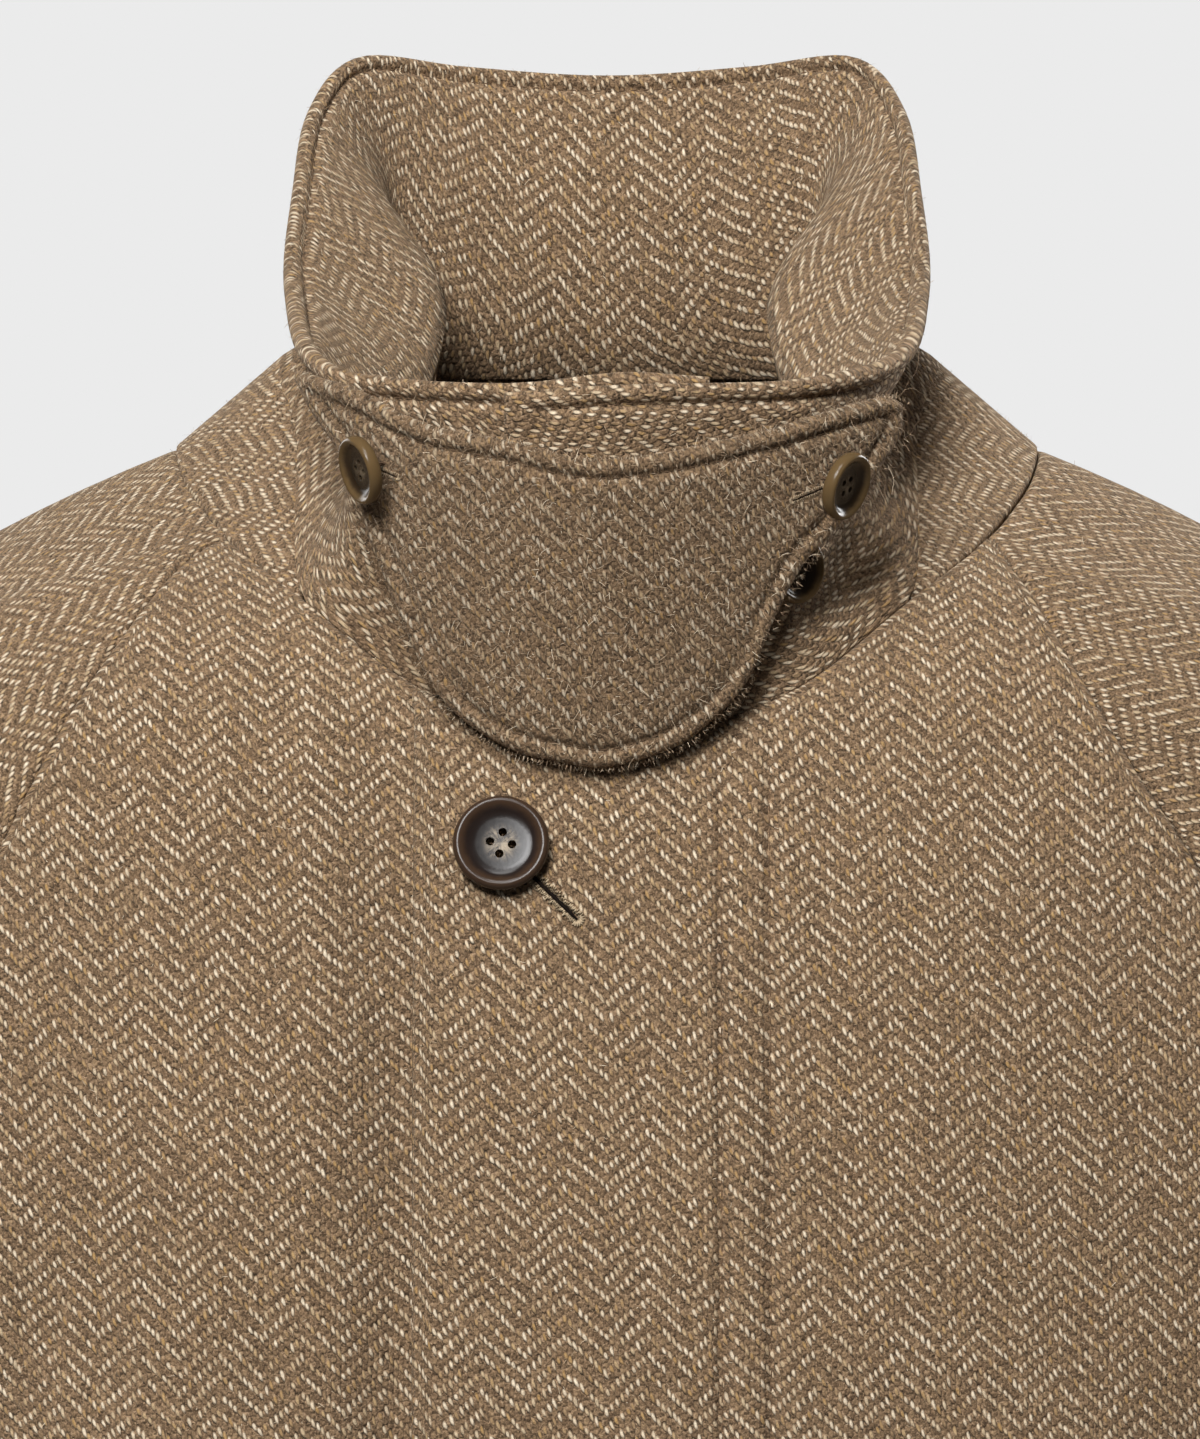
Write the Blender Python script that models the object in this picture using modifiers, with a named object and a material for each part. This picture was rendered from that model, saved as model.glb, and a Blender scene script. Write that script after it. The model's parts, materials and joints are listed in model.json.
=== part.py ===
"""A raglan coat worn by nobody: cut pieces of tweed standing in the form they take on a figure.

Sizes are in millimetres. The origin is between the two neck points of the shoulders.
X runs to the wearer's left, Y to the wearer's back and Z up.
"""

import math
from collections import namedtuple

import bmesh
import bpy
from mathutils import Matrix, Vector

MM = 0.001

# Walls and seams
CLOTH_WALL = 2.4
STAND_WALL = 3.0
FALL_WALL = 4.5
TAB_WALL = 4.4
SEAM_GAP = 0.4
RAGLAN_GAP = 0.9
LAP_DEPTH = 4.6
COLLAR_LAP_DEPTH = 5.6
COLLAR_LAP_RISE = 3.5

# Neck, chest and arm
NECK_HALF_WIDTH = 100.0
CHEST_LEVEL = -290.0
CHEST_HALF_WIDTH = 205.0
HEM_LEVEL = -1040.0
FRONT_EDGE_X = -43.0
UNDER_EDGE_X = 2.0
RAGLAN_TOP_X = 86.5
BACK_RAGLAN_TOP_X = 62.0
ROUNDNESS = 2.4
SIDE_ANGLE = 89.94
NECK_SHARE = 0.2
SHOULDER_SHARE = 0.48
SLEEVE_EDGE = 0.002
LONG_STEP = 14.5
BODY_ROWS = 13
BODY_ROW_GROWTH = 1.25

# The figure's outline level by level: half width, depth to the front and to the back, middle
Form = namedtuple("Form", "z half_width front back middle")
FORM = (
    Form(0.0, 100.0, 30.0, 56.0, 2.0),
    Form(-4.0, 109.0, 36.0, 64.0, 2.0),
    Form(-20.0, 145.0, 55.0, 80.0, 2.0),
    Form(-31.0, 170.0, 70.0, 88.0, 2.0),
    Form(-50.0, 208.0, 85.0, 98.0, 1.0),
    Form(-63.0, 222.0, 92.0, 103.0, 1.0),
    Form(-92.0, 234.0, 101.0, 113.0, 0.0),
    Form(-150.0, 238.0, 114.0, 125.0, 0.0),
    Form(-230.0, 224.0, 126.0, 132.0, 0.0),
    Form(-290.0, 205.0, 132.0, 134.0, 0.0),
    Form(-520.0, 214.0, 140.0, 140.0, 0.0),
    Form(-760.0, 234.0, 158.0, 160.0, 0.0),
    Form(-1040.0, 260.0, 182.0, 188.0, 0.0),
)

# The neck seam's height, by the angle round the neck from the centre back
Neck = namedtuple("Neck", "angle z")
NECK = (
    Neck(0.0, -4.0),
    Neck(17.5, -4.0),
    Neck(38.3, -3.0),
    Neck(58.2, -1.5),
    Neck(90.0, 0.0),
    Neck(109.1, -11.0),
    Neck(120.1, -20.0),
    Neck(137.2, -34.0),
    Neck(154.5, -53.0),
    Neck(167.3, -61.0),
    Neck(180.0, -65.0),
)

# The raglan seams as seen from the front or the back, from the neck down to the underarm
Seam = namedtuple("Seam", "x z")
RAGLAN_LEFT = (
    Seam(86.5, -20.0),
    Seam(94.1, -30.2),
    Seam(103.0, -46.0),
    Seam(117.9, -72.1),
    Seam(132.0, -94.4),
    Seam(156.0, -145.0),
    Seam(178.0, -196.0),
    Seam(195.0, -245.0),
    Seam(201.5, -270.0),
    Seam(204.3, -283.0),
    Seam(205.0, -290.0),
)
RAGLAN_RIGHT = (
    Seam(86.5, -20.0),
    Seam(91.5, -22.4),
    Seam(98.0, -27.8),
    Seam(105.3, -37.0),
    Seam(120.1, -59.5),
    Seam(135.1, -89.1),
    Seam(158.0, -142.0),
    Seam(179.0, -195.0),
    Seam(195.0, -245.0),
    Seam(201.5, -270.0),
    Seam(204.3, -283.0),
    Seam(205.0, -290.0),
)
RAGLAN_BACK = (
    Seam(62.0, -3.0),
    Seam(80.0, -28.0),
    Seam(105.0, -70.0),
    Seam(135.0, -125.0),
    Seam(160.0, -175.0),
    Seam(182.0, -220.0),
    Seam(197.0, -260.0),
    Seam(203.5, -280.0),
    Seam(205.0, -290.0),
)

# Hanging folds of the skirt: place round the body from the centre front, depth and half spread
Fold = namedtuple("Fold", "angle depth spread start")
SKIRT_FOLDS = (
    Fold(-152.0, 10.0, 17.0, -430.0),
    Fold(-112.0, 9.0, 15.0, -360.0),
    Fold(-74.0, -8.0, 14.0, -380.0),
    Fold(-46.0, 7.0, 13.0, -520.0),
    Fold(58.0, 7.0, 14.0, -470.0),
    Fold(84.0, -8.0, 14.0, -350.0),
    Fold(118.0, 10.0, 16.0, -400.0),
    Fold(160.0, 8.0, 16.0, -470.0),
)

# The arm from just below the underarm to the cuff: middle, half width and half depth
Arm = namedtuple("Arm", "at x y z across deep")
ARM = (
    Arm(0.0, 270.0, 4.0, -340.0, 55.0, 75.0),
    Arm(0.35, 286.0, 2.0, -455.0, 52.0, 68.0),
    Arm(0.6, 295.0, -6.0, -535.0, 50.0, 62.0),
    Arm(1.0, 306.0, -28.0, -668.0, 46.0, 55.0),
)

# How steeply the sleeve's cloth leaves its upper edge, from the shoulder seam round to the underarm
Leaving = namedtuple("Leaving", "share slope")
LEAVING = (
    Leaving(0.0, 24.0),
    Leaving(0.2, 14.0),
    Leaving(0.35, 22.0),
    Leaving(0.5, 32.0),
    Leaving(0.7, 36.0),
    Leaving(0.85, 20.0),
    Leaving(1.0, 0.0),
)

# Creases of the sleeve at the bend of the elbow: place along, place round, depth and slant
Crease = namedtuple("Crease", "along round depth slant")
ELBOW_CREASES = (
    Crease(0.30, 0.66, -5.0, 0.16),
    Crease(0.47, 0.72, -6.0, -0.10),
    Crease(0.60, 0.60, -4.5, 0.12),
)
CREASE_LENGTH = 0.05
CREASE_REACH = 0.24

# The collar from the centre back to its front end: angle on the neck seam, then the
# points at the fall's lower edge, its waist and its upper edge
Collar = namedtuple("Collar", "at angle lower waist upper")
COLLAR = (
    Collar(0, 0.0, (0, 48, 20), (0, 44, 53), (0, 54, 88)),
    Collar(1, 20.5, (26, 47, 20), (28, 43, 54), (34, 53, 90)),
    Collar(2, 42.0, (50, 42, 20), (52, 38, 58), (60, 43, 92)),
    Collar(3, 62.0, (68, 29, 21), (54, 24, 51), (71, 25, 79)),
    Collar(4, 88.0, (77, 8, 20), (42, 3, 34), (74, 3, 58)),
    Collar(5, 108.0, (71, -18, 4), (45, -22, 13), (75, -23, 35.5)),
    Collar(6, 137.2, None, (59, -66, -9), (68, -66, 20)),
    Collar(7, 154.5, None, (43, -86, -20), (45, -91, 14.5)),
    Collar(8, 180.0, None, (0, -98, -27), (0, -104, 13)),
    Collar(8.5, 193.3, None, (-23, -96, -27), (-23, -101, 11.5)),
)
STAND_END = 5.9
STAND_TIP = 6
COLLAR_END = 8.5

# The hollow in the fall behind the left end of the tab: middle, half width and depth
HOLLOW_PLACE = 6.3
HOLLOW_REACH = 0.9
HOLLOW_DEPTH = 12.0

# The throat tab seen from the front: upper and lower edge, from its right end to its left
Tab = namedtuple("Tab", "x upper lower")
TAB = (
    Tab(-71.0, 17.0, 14.6),
    Tab(-67.6, 15.9, 8.0),
    Tab(-59.5, 13.2, -3.4),
    Tab(-57.0, 12.2, -9.0),
    Tab(-54.5, 11.0, -19.2),
    Tab(-51.0, 9.0, -28.0),
    Tab(-48.7, 7.6, -33.7),
    Tab(-39.0, 3.9, -54.6),
    Tab(-23.7, 1.0, -66.7),
    Tab(-9.3, -2.6, -70.6),
    Tab(0.0, -3.3, -71.5),
    Tab(12.9, -1.9, -68.0),
    Tab(20.5, -0.4, -63.8),
    Tab(31.6, 2.0, -52.6),
    Tab(38.0, 3.6, -38.0),
    Tab(44.3, 5.5, -26.4),
    Tab(50.8, 7.5, -19.8),
    Tab(56.0, 9.0, -13.4),
    Tab(63.8, 10.7, -2.0),
    Tab(67.0, 9.4, 3.0),
)
TAB_FRONT_TOP = -111.5
TAB_FRONT_BOTTOM = -100.0
TAB_TOP_LEVEL = 0.0
TAB_BOTTOM_LEVEL = -71.5
TAB_DEPTH = 78.0
TAB_HALF_WIDTH_RIGHT = 81.0
TAB_HALF_WIDTH_LEFT = 86.0

# Buttons: the cloth they lie on, their place on it, their distance from it, how far they
# lean aside and droop on their thread, their size and their turn
Button = namedtuple("Button", "name cloth across down lift lean droop diameter turn")
BUTTONS = (
    Button("front_button", "front", -23.4, -88.6, 1.2, 0.0, 0.0, 21.4, 37.0),
    Button("tab_button_right", "tab", -50.6, -4.4, 4.0, -25.0, 8.0, 15.6, 30.0),
    Button("tab_button_left", "tab", 49.2, -7.8, 4.2, 25.0, 10.0, 15.6, 20.0),
    Button("collar_button", "fall", 7.06, 0.40, 0.5, 0.0, 0.0, 15.6, 5.0),
)
BUTTON_THICKNESS = 3.4
HOLE_CIRCLE = 0.115
HOLE_SIZE = 0.045
BUTTON_STEPS = 20

TWEED_BROWN = (0.262, 0.184, 0.112, 1.0)
HORN_BROWN = (0.045, 0.024, 0.012, 1.0)


def read(rows, column, at):
    """One column of a table, read at any place along its first column as a smooth curve."""
    keys = [row[0] for row in rows]
    values = [getattr(row, column) for row in rows]
    if keys[0] > keys[-1]:
        keys.reverse()
        values.reverse()
    at = min(max(at, keys[0]), keys[-1])
    last = len(keys) - 1
    left = 0
    while left < last - 1 and at > keys[left + 1]:
        left += 1
    right = left + 1
    before = max(left - 1, 0)
    after = min(right + 1, last)
    width = keys[right] - keys[left]
    slope_left = (values[right] - values[before]) / (keys[right] - keys[before]) * width
    slope_right = (values[after] - values[left]) / (keys[after] - keys[left]) * width
    t = (at - keys[left]) / width
    return hermite(values[left], slope_left, values[right], slope_right, t)


def hermite(start, start_slope, end, end_slope, t):
    """A cubic from start to end with the given slopes, for numbers or points."""
    return (
        start * (2 * t**3 - 3 * t**2 + 1)
        + start_slope * (t**3 - 2 * t**2 + t)
        + end * (3 * t**2 - 2 * t**3)
        + end_slope * (t**3 - t**2)
    )


def ease(t):
    """A smooth step from 0 to 1."""
    t = min(max(t, 0.0), 1.0)
    return t * t * (3 - 2 * t)


def spread(start, end, count):
    """Evenly spaced places from start to end, both included."""
    return [start + (end - start) * step / count for step in range(count + 1)]


# The figure's form

def form_depth(x, z, face):
    """How far the form lies in front of its middle (face -1) or behind it (face 1)."""
    depth = read(FORM, "front" if face < 0 else "back", z)
    share = min(abs(x) / read(FORM, "half_width", z), 1.0)
    return depth * max(1.0 - share**ROUNDNESS, 0.0) ** (1.0 / ROUNDNESS)


def form_point(x, z, face):
    """The point of the form seen at x and z from the front or the back."""
    return Vector((x, read(FORM, "middle", z) + face * form_depth(x, z, face), z))


def form_excess(point):
    """Below 1 inside the form and above 1 outside it."""
    side = point.y - read(FORM, "middle", point.z)
    depth = read(FORM, "front" if side < 0 else "back", point.z)
    width = read(FORM, "half_width", point.z)
    return abs(point.x / width) ** ROUNDNESS + abs(side / depth) ** ROUNDNESS


def form_normal(point):
    """The way out of the form at a point on it."""
    step = 0.5
    slope = Vector((0, 0, 0))
    for axis in range(3):
        move = Vector((0, 0, 0))
        move[axis] = step
        slope[axis] = form_excess(point + move) - form_excess(point - move)
    return slope.normalized()


def neck_point(angle, side):
    """A point of the neck seam; side is 1 on the wearer's left and -1 on the right."""
    x = NECK_HALF_WIDTH * math.sin(math.radians(angle))
    face = 1 if angle < 90.0 else -1
    z = read(NECK, "z", angle if angle <= 180.0 else 360.0 - angle)
    return form_point(side * x, z, face)


def skirt_fold(angle, z):
    """How far the hanging folds push the skirt out, by the angle from the centre front."""
    push = 0.0
    for fold in SKIRT_FOLDS:
        away = abs((angle - fold.angle + 180.0) % 360.0 - 180.0) / fold.spread
        if away < 1.0:
            growth = ease((fold.start - z) / (fold.start - HEM_LEVEL))
            push += fold.depth * growth * math.cos(away * math.pi / 2) ** 2
    return push


# The body panels

def body_point(angle, z):
    """A point of the body below its seams; angle runs from the centre front to the left."""
    face = -1 if abs(angle) < 90.0 else 1
    share = abs(math.sin(math.radians(angle))) ** (2 / ROUNDNESS)
    x = math.copysign(share, angle) * CHEST_HALF_WIDTH
    if z < CHEST_LEVEL:
        x *= read(FORM, "half_width", z) / CHEST_HALF_WIDTH
    point = form_point(x, z, face)
    if z < CHEST_LEVEL:
        outward = Vector((point.x, point.y, 0)).normalized()
        point += outward * skirt_fold(angle, z)
    return point


def angle_of(x):
    """The angle from the centre front at which the chest stands at x."""
    share = min(abs(x) / CHEST_HALF_WIDTH, 1.0)
    return math.copysign(math.degrees(math.asin(share ** (ROUNDNESS / 2))), x)


def top_level(x, raglan, raglan_top_x, front):
    """The height of a panel's upper edge at x: the neck seam, then the raglan seam."""
    if abs(x) > raglan_top_x:
        return read(raglan, "z", abs(x)) - SEAM_GAP
    angle = math.degrees(math.asin(abs(x) / NECK_HALF_WIDTH))
    return read(NECK, "z", 180.0 - angle if front else angle) - SEAM_GAP


def front_point(angle, down):
    """The two fronts: angle below zero is the wearer's right."""
    x = math.copysign(abs(math.sin(math.radians(angle))) ** (2 / ROUNDNESS), angle)
    x *= CHEST_HALF_WIDTH
    raglan = RAGLAN_LEFT if x > 0 else RAGLAN_RIGHT
    top = top_level(x, raglan, RAGLAN_TOP_X, True)
    return body_point(angle, top + (HEM_LEVEL - top) * down)


def under_front_point(angle, down):
    """The right front, set back where the left front laps over it."""
    point = front_point(angle, down)
    point.y += LAP_DEPTH * ease((point.x - FRONT_EDGE_X + 23.0) / 17.0)
    return point


def back_point(angle, down):
    """The back, from one side seam through 180 degrees to the other."""
    x = abs(math.sin(math.radians(angle))) ** (2 / ROUNDNESS) * CHEST_HALF_WIDTH
    top = top_level(x, RAGLAN_BACK, BACK_RAGLAN_TOP_X, False)
    turned = angle if angle <= 180.0 else angle - 360.0
    return body_point(turned, top + (HEM_LEVEL - top) * down)


# The sleeves

def raglan_of(side, face):
    """The raglan seam of the wearer's left (side 1) or right, front (face -1) or back."""
    if face > 0:
        return RAGLAN_BACK
    return RAGLAN_LEFT if side > 0 else RAGLAN_RIGHT


def sleeve_seam(side, face, round_share):
    """The sleeve's upper edge, from the neck point of the shoulder to the underarm."""
    if round_share < NECK_SHARE:
        top_x = RAGLAN_TOP_X if face < 0 else BACK_RAGLAN_TOP_X
        reach = 90.0 - math.degrees(math.asin(top_x / NECK_HALF_WIDTH))
        share = (round_share - SLEEVE_EDGE) / (NECK_SHARE - SLEEVE_EDGE)
        point = neck_point(90.0 - face * reach * share, side)
        return point + Vector((0, face * SEAM_GAP * (1.0 - share), 0))
    raglan = raglan_of(side, face)
    along = math.sin((round_share - NECK_SHARE) / (1.0 - NECK_SHARE) * math.pi / 2)
    x = raglan[0].x + (raglan[-1].x - raglan[0].x) * along
    return form_point(side * x, read(raglan, "z", x), face)


def arm_point(side, face, round_share, at):
    """The sleeve below the underarm, with the creases of the elbow."""
    turn = math.pi * round_share
    push = sum(elbow_crease(crease, face, round_share, at) for crease in ELBOW_CREASES)
    across = read(ARM, "across", at) + push
    deep = read(ARM, "deep", at) + push
    return Vector((
        side * (read(ARM, "x", at) + across * math.cos(turn)),
        read(ARM, "y", at) + face * deep * math.sin(turn),
        read(ARM, "z", at),
    ))


def elbow_crease(crease, face, round_share, at):
    """One crease: deepest on the front of the arm, fading round it."""
    place = round_share if face < 0 else -round_share
    middle = crease.along + crease.slant * (place - crease.round)
    off = (at - middle) / CREASE_LENGTH
    aside = (place - crease.round) / CREASE_REACH
    return crease.depth * math.exp(-off * off - aside * aside)


def sleeve_point(side, face, round_share, down):
    """A sleeve half: round_share from the shoulder seam to the underarm seam."""
    if down > SHOULDER_SHARE:
        at = (down - SHOULDER_SHARE) / (1.0 - SHOULDER_SHARE)
        return arm_point(side, face, round_share, at)
    start = sleeve_seam(side, face, round_share)
    end = arm_point(side, face, round_share, 0.0)
    out = form_normal(start)
    slope = math.radians(read(LEAVING, "slope", round_share))
    level = Vector((side * math.cos(slope), 0, -math.sin(slope)))
    along = (level - out * level.dot(out)).normalized()
    turned_out = ease((round_share - 0.35) / 0.65)
    leaving = (along * (1.0 - turned_out) + out * turned_out).normalized()
    arriving = arm_point(side, face, round_share, 0.05) - end
    length = (end - start).length
    start += off_seam(side, face, round_share, out) * RAGLAN_GAP
    return hermite(
        start,
        leaving * length * (1.3 - 0.5 * turned_out),
        end,
        arriving.normalized() * length,
        down / SHOULDER_SHARE,
    )


def off_seam(side, face, round_share, out):
    """The way from the sleeve's upper edge into the sleeve, lying on the form."""
    step = 0.004
    first = min(max(round_share - step, 0.0), 1.0 - 2 * step)
    if NECK_SHARE - 2 * step < first < NECK_SHARE:
        first = NECK_SHARE
    run = sleeve_seam(side, face, first + 2 * step) - sleeve_seam(side, face, first)
    return out.cross(run).normalized() * (-side * face)


# The collar

def through(points, at):
    """A smooth curve through points standing at the collar's places."""
    rows = [Vector(point) for point in points]
    places = [row.at for row in COLLAR]
    left = 0
    while left < len(rows) - 2 and at > places[left + 1]:
        left += 1
    right = left + 1
    if left == 0:
        before = Vector((-rows[1].x, rows[1].y, rows[1].z))
        before_place = -places[1]
    else:
        before = rows[left - 1]
        before_place = places[left - 1]
    after = rows[min(right + 1, len(rows) - 1)]
    after_place = places[min(right + 1, len(rows) - 1)]
    width = places[right] - places[left]
    slope_left = (rows[right] - before) * (width / (places[right] - before_place))
    slope_right = (after - rows[left]) * (width / (after_place - places[left]))
    t = (at - places[left]) / width
    return hermite(rows[left], slope_left, rows[right], slope_right, t)


def neck_angle(at):
    """The angle on the neck seam below a place of the collar."""
    return read(COLLAR, "angle", at)


def collar_neck(at):
    """The neck seam below a place of the collar, on the wearer's left."""
    point = neck_point(neck_angle(at), 1)
    return Vector((point.x, point.y, point.z + SEAM_GAP))


def fall_lower(at):
    """The lower edge of the fall: on the stand, then on the neck seam from the stand's end."""
    if at >= STAND_TIP:
        return collar_neck(at)
    return through([row.lower or collar_neck(row.at) for row in COLLAR], at)


def mirrored(point, side):
    """The same point on the wearer's left (side 1) or right (side -1)."""
    return Vector((side * point.x, point.y, point.z))


def stand_point(place, up):
    """The stand between the neck seam and the fall; place runs from the right to the left."""
    at = abs(place)
    low = collar_neck(at)
    high = fall_lower(at)
    room = max((high - low).length, 0.01)
    margin = min(2 * SEAM_GAP / room, 0.3)
    share = margin + (1.0 - 2.5 * margin) * up
    return mirrored(low.lerp(high, share), math.copysign(1, place))


def fall_point(place, up):
    """The fall, from its lower edge through its waist to its upper edge."""
    at = abs(place)
    low = fall_lower(at)
    waist = through([row.waist for row in COLLAR], at)
    high = through([row.upper for row in COLLAR], at)
    rising = waist - low
    if at < STAND_TIP:
        stand = (low - collar_neck(at)).normalized() * rising.length
        rising = stand.lerp(rising, ease(at - STAND_TIP + 1.0))
    if up < 0.5:
        point = hermite(low, rising, waist, (high - low) / 2, up * 2)
    else:
        point = hermite(waist, (high - low) / 2, high, (high - waist), up * 2 - 1)
    point = mirrored(point, math.copysign(1, place))
    if place < 0:
        point.y += COLLAR_LAP_DEPTH * ease((at - 6.2) / 0.55)
        point.z += COLLAR_LAP_RISE * ease((at - 7.5) / 0.7) * ease(up)
    else:
        point += Vector((-0.45, 0.9, 0)) * fall_hollow(at, up)
    return point


def fall_hollow(at, up):
    """How far the fall sinks in behind the left end of the tab."""
    share = max(1.0 - ((at - HOLLOW_PLACE) / HOLLOW_REACH) ** 2, 0.0)
    up = min(max(up, 0.0), 1.0)
    return HOLLOW_DEPTH * share * share * math.sin(math.pi * up**0.75) * ease(up / 0.3)



# The throat tab

def tab_depth(x, z):
    """How far forward the tab stands at x and z, bent round the front of the collar."""
    down = (z - TAB_TOP_LEVEL) / (TAB_BOTTOM_LEVEL - TAB_TOP_LEVEL)
    front = TAB_FRONT_TOP + (TAB_FRONT_BOTTOM - TAB_FRONT_TOP) * min(max(down, -0.2), 1.0)
    half_width = TAB_HALF_WIDTH_LEFT if x > 0 else TAB_HALF_WIDTH_RIGHT
    return front + TAB_DEPTH * (1.0 - math.sqrt(1.0 - (x / half_width) ** 2))


def tab_point(x, down):
    """The tab from its upper edge down to its lower edge."""
    upper = read(TAB, "upper", x)
    z = upper + (read(TAB, "lower", x) - upper) * down
    return Vector((x, tab_depth(x, z), z))


# Making the solids

def clear_scene():
    for thing in list(bpy.data.objects):
        bpy.data.objects.remove(thing, do_unlink=True)


def collection(name):
    group = bpy.data.collections.new(name)
    bpy.context.scene.collection.children.link(group)
    return group


def material(name, colour, roughness):
    made = bpy.data.materials.new(name)
    made.use_nodes = True
    shader = made.node_tree.nodes["Principled BSDF"]
    shader.inputs["Base Color"].default_value = colour
    shader.inputs["Roughness"].default_value = roughness
    return made


def cloth(name, surface, across, down, wall, look, group):
    """One cut piece: a grid laid on its surface, smoothed, with a wall grown inwards."""
    grid = bmesh.new()
    columns = len(across) - 1
    rows = len(down) - 1
    bmesh.ops.create_grid(grid, x_segments=columns, y_segments=rows, size=1.0)
    size = max(vertex.co.x for vertex in grid.verts)
    for vertex in grid.verts:
        column = round((vertex.co.x / size + 1.0) / 2 * columns)
        row = round((vertex.co.y / size + 1.0) / 2 * rows)
        vertex.co = surface(across[column], down[rows - row]) * MM
    for face in grid.faces:
        face.smooth = True
    mesh = bpy.data.meshes.new(name)
    grid.to_mesh(mesh)
    grid.free()
    mesh.materials.append(look)
    piece = bpy.data.objects.new(name, mesh)
    group.objects.link(piece)
    solid = piece.modifiers.new("Wall", "SOLIDIFY")
    solid.thickness = wall * MM
    solid.offset = -1.0
    solid.use_even_offset = True
    return piece


def raglan_places(raglan):
    """Places along a raglan seam: its rows, and the middles of its long steps."""
    places = [raglan[0].x]
    for row, after in zip(raglan, raglan[1:]):
        if after.x - row.x > LONG_STEP:
            places.append((row.x + after.x) / 2)
        places.append(after.x)
    return places


def raglan_angles(raglan):
    """Where a panel's columns stand so that they meet the sleeve's at the raglan seam."""
    return [angle_of(x) for x in raglan_places(raglan)[:-1]] + [SIDE_ANGLE]


def make_fronts(tweed, group):
    down = [(step / BODY_ROWS) ** BODY_ROW_GROWTH for step in range(BODY_ROWS + 1)]
    seam_angle = angle_of(RAGLAN_TOP_X)
    over = spread(angle_of(FRONT_EDGE_X), seam_angle, 10)[:-1]
    over += raglan_angles(RAGLAN_LEFT)
    cloth("front_left", front_point, over, down, CLOTH_WALL, tweed, group)
    under = [-angle for angle in reversed(raglan_angles(RAGLAN_RIGHT))]
    under += spread(-seam_angle, angle_of(UNDER_EDGE_X), 8)[1:]
    cloth("front_right", under_front_point, under, down, CLOTH_WALL, tweed, group)


def make_back(tweed, group):
    down = [(step / BODY_ROWS) ** BODY_ROW_GROWTH for step in range(BODY_ROWS + 1)]
    seam_angle = angle_of(BACK_RAGLAN_TOP_X)
    half = raglan_angles(RAGLAN_BACK)
    across = [180.0 - angle for angle in reversed(half)]
    across += spread(180.0 - seam_angle, 180.0 + seam_angle, 8)[1:-1]
    across += [180.0 + angle for angle in half]
    cloth("back", back_point, across, down, CLOTH_WALL, tweed, group)


def raglan_shares(raglan):
    """Places round the sleeve that stand at the rows of its raglan seam."""
    shares = []
    for x in raglan_places(raglan):
        along = (x - raglan[0].x) / (raglan[-1].x - raglan[0].x)
        turn = math.asin(along) / (math.pi / 2)
        shares.append(NECK_SHARE + (1.0 - NECK_SHARE) * turn)
    shares[-1] = 1.0 - SLEEVE_EDGE
    return shares


def make_sleeves(tweed, group):
    down = spread(0.0, SHOULDER_SHARE, 7) + spread(SHOULDER_SHARE, 1.0, 8)[1:]
    for side, side_name in ((1, "left"), (-1, "right")):
        for face, face_name in ((-1, "front"), (1, "back")):
            raglan = raglan_of(side, face)
            order = spread(SLEEVE_EDGE, NECK_SHARE, 3)[:-1] + raglan_shares(raglan)
            if side * face < 0:
                order.reverse()

            def surface(round_share, along, side=side, face=face):
                return sleeve_point(side, face, round_share, along)

            name = f"sleeve_{side_name}_{face_name}"
            cloth(name, surface, order, down, CLOTH_WALL, tweed, group)


def make_collar(tweed, group):
    half = spread(0.0, STAND_END, 18)
    ring = [-place for place in half[:0:-1]] + half
    cloth("collar_stand", stand_point, ring, spread(0.0, 1.0, 3), STAND_WALL, tweed, group)
    front = spread(STAND_END, COLLAR_END, 8)[1:]
    strip = [-place for place in front[::-1]] + ring + front
    cloth("collar_fall", fall_point, strip, spread(0.0, 1.0, 8), FALL_WALL, tweed, group)


def make_tab(tweed, group):
    across = []
    for left, right in zip(TAB, TAB[1:]):
        across += spread(left.x, right.x, 2)[:-1]
    across.append(TAB[-1].x)
    cloth("throat_tab", tab_point, across, spread(0.0, 1.0, 8), TAB_WALL, tweed, group)


def button_profile(radius):
    """Half the button's section: flat back, round rim, dished middle."""
    rim = radius * 0.80
    top = BUTTON_THICKNESS
    return (
        (0.0, 0.0),
        (radius * 0.86, 0.0),
        (radius * 0.97, top * 0.25),
        (radius, top * 0.55),
        (radius * 0.97, top * 0.85),
        (radius * 0.90, top),
        (rim, top * 0.92),
        (rim * 0.86, top * 0.70),
        (radius * 0.30, top * 0.60),
        (0.0, top * 0.60),
    )


def turned_disc(name, profile, look, group):
    """A button turned on a lathe."""
    shape = bmesh.new()
    points = [shape.verts.new((x * MM, 0.0, z * MM)) for x, z in profile]
    edges = [shape.edges.new(pair) for pair in zip(points, points[1:])]
    bmesh.ops.spin(
        shape,
        geom=points + edges,
        axis=(0, 0, 1),
        cent=(0, 0, 0),
        angle=math.tau,
        steps=BUTTON_STEPS,
        use_merge=True,
    )
    bmesh.ops.remove_doubles(shape, verts=shape.verts, dist=0.00005)
    bmesh.ops.recalc_face_normals(shape, faces=shape.faces)
    mesh = bpy.data.meshes.new(name)
    shape.to_mesh(mesh)
    shape.free()
    mesh.materials.append(look)
    disc = bpy.data.objects.new(name, mesh)
    group.objects.link(disc)
    return disc


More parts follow.
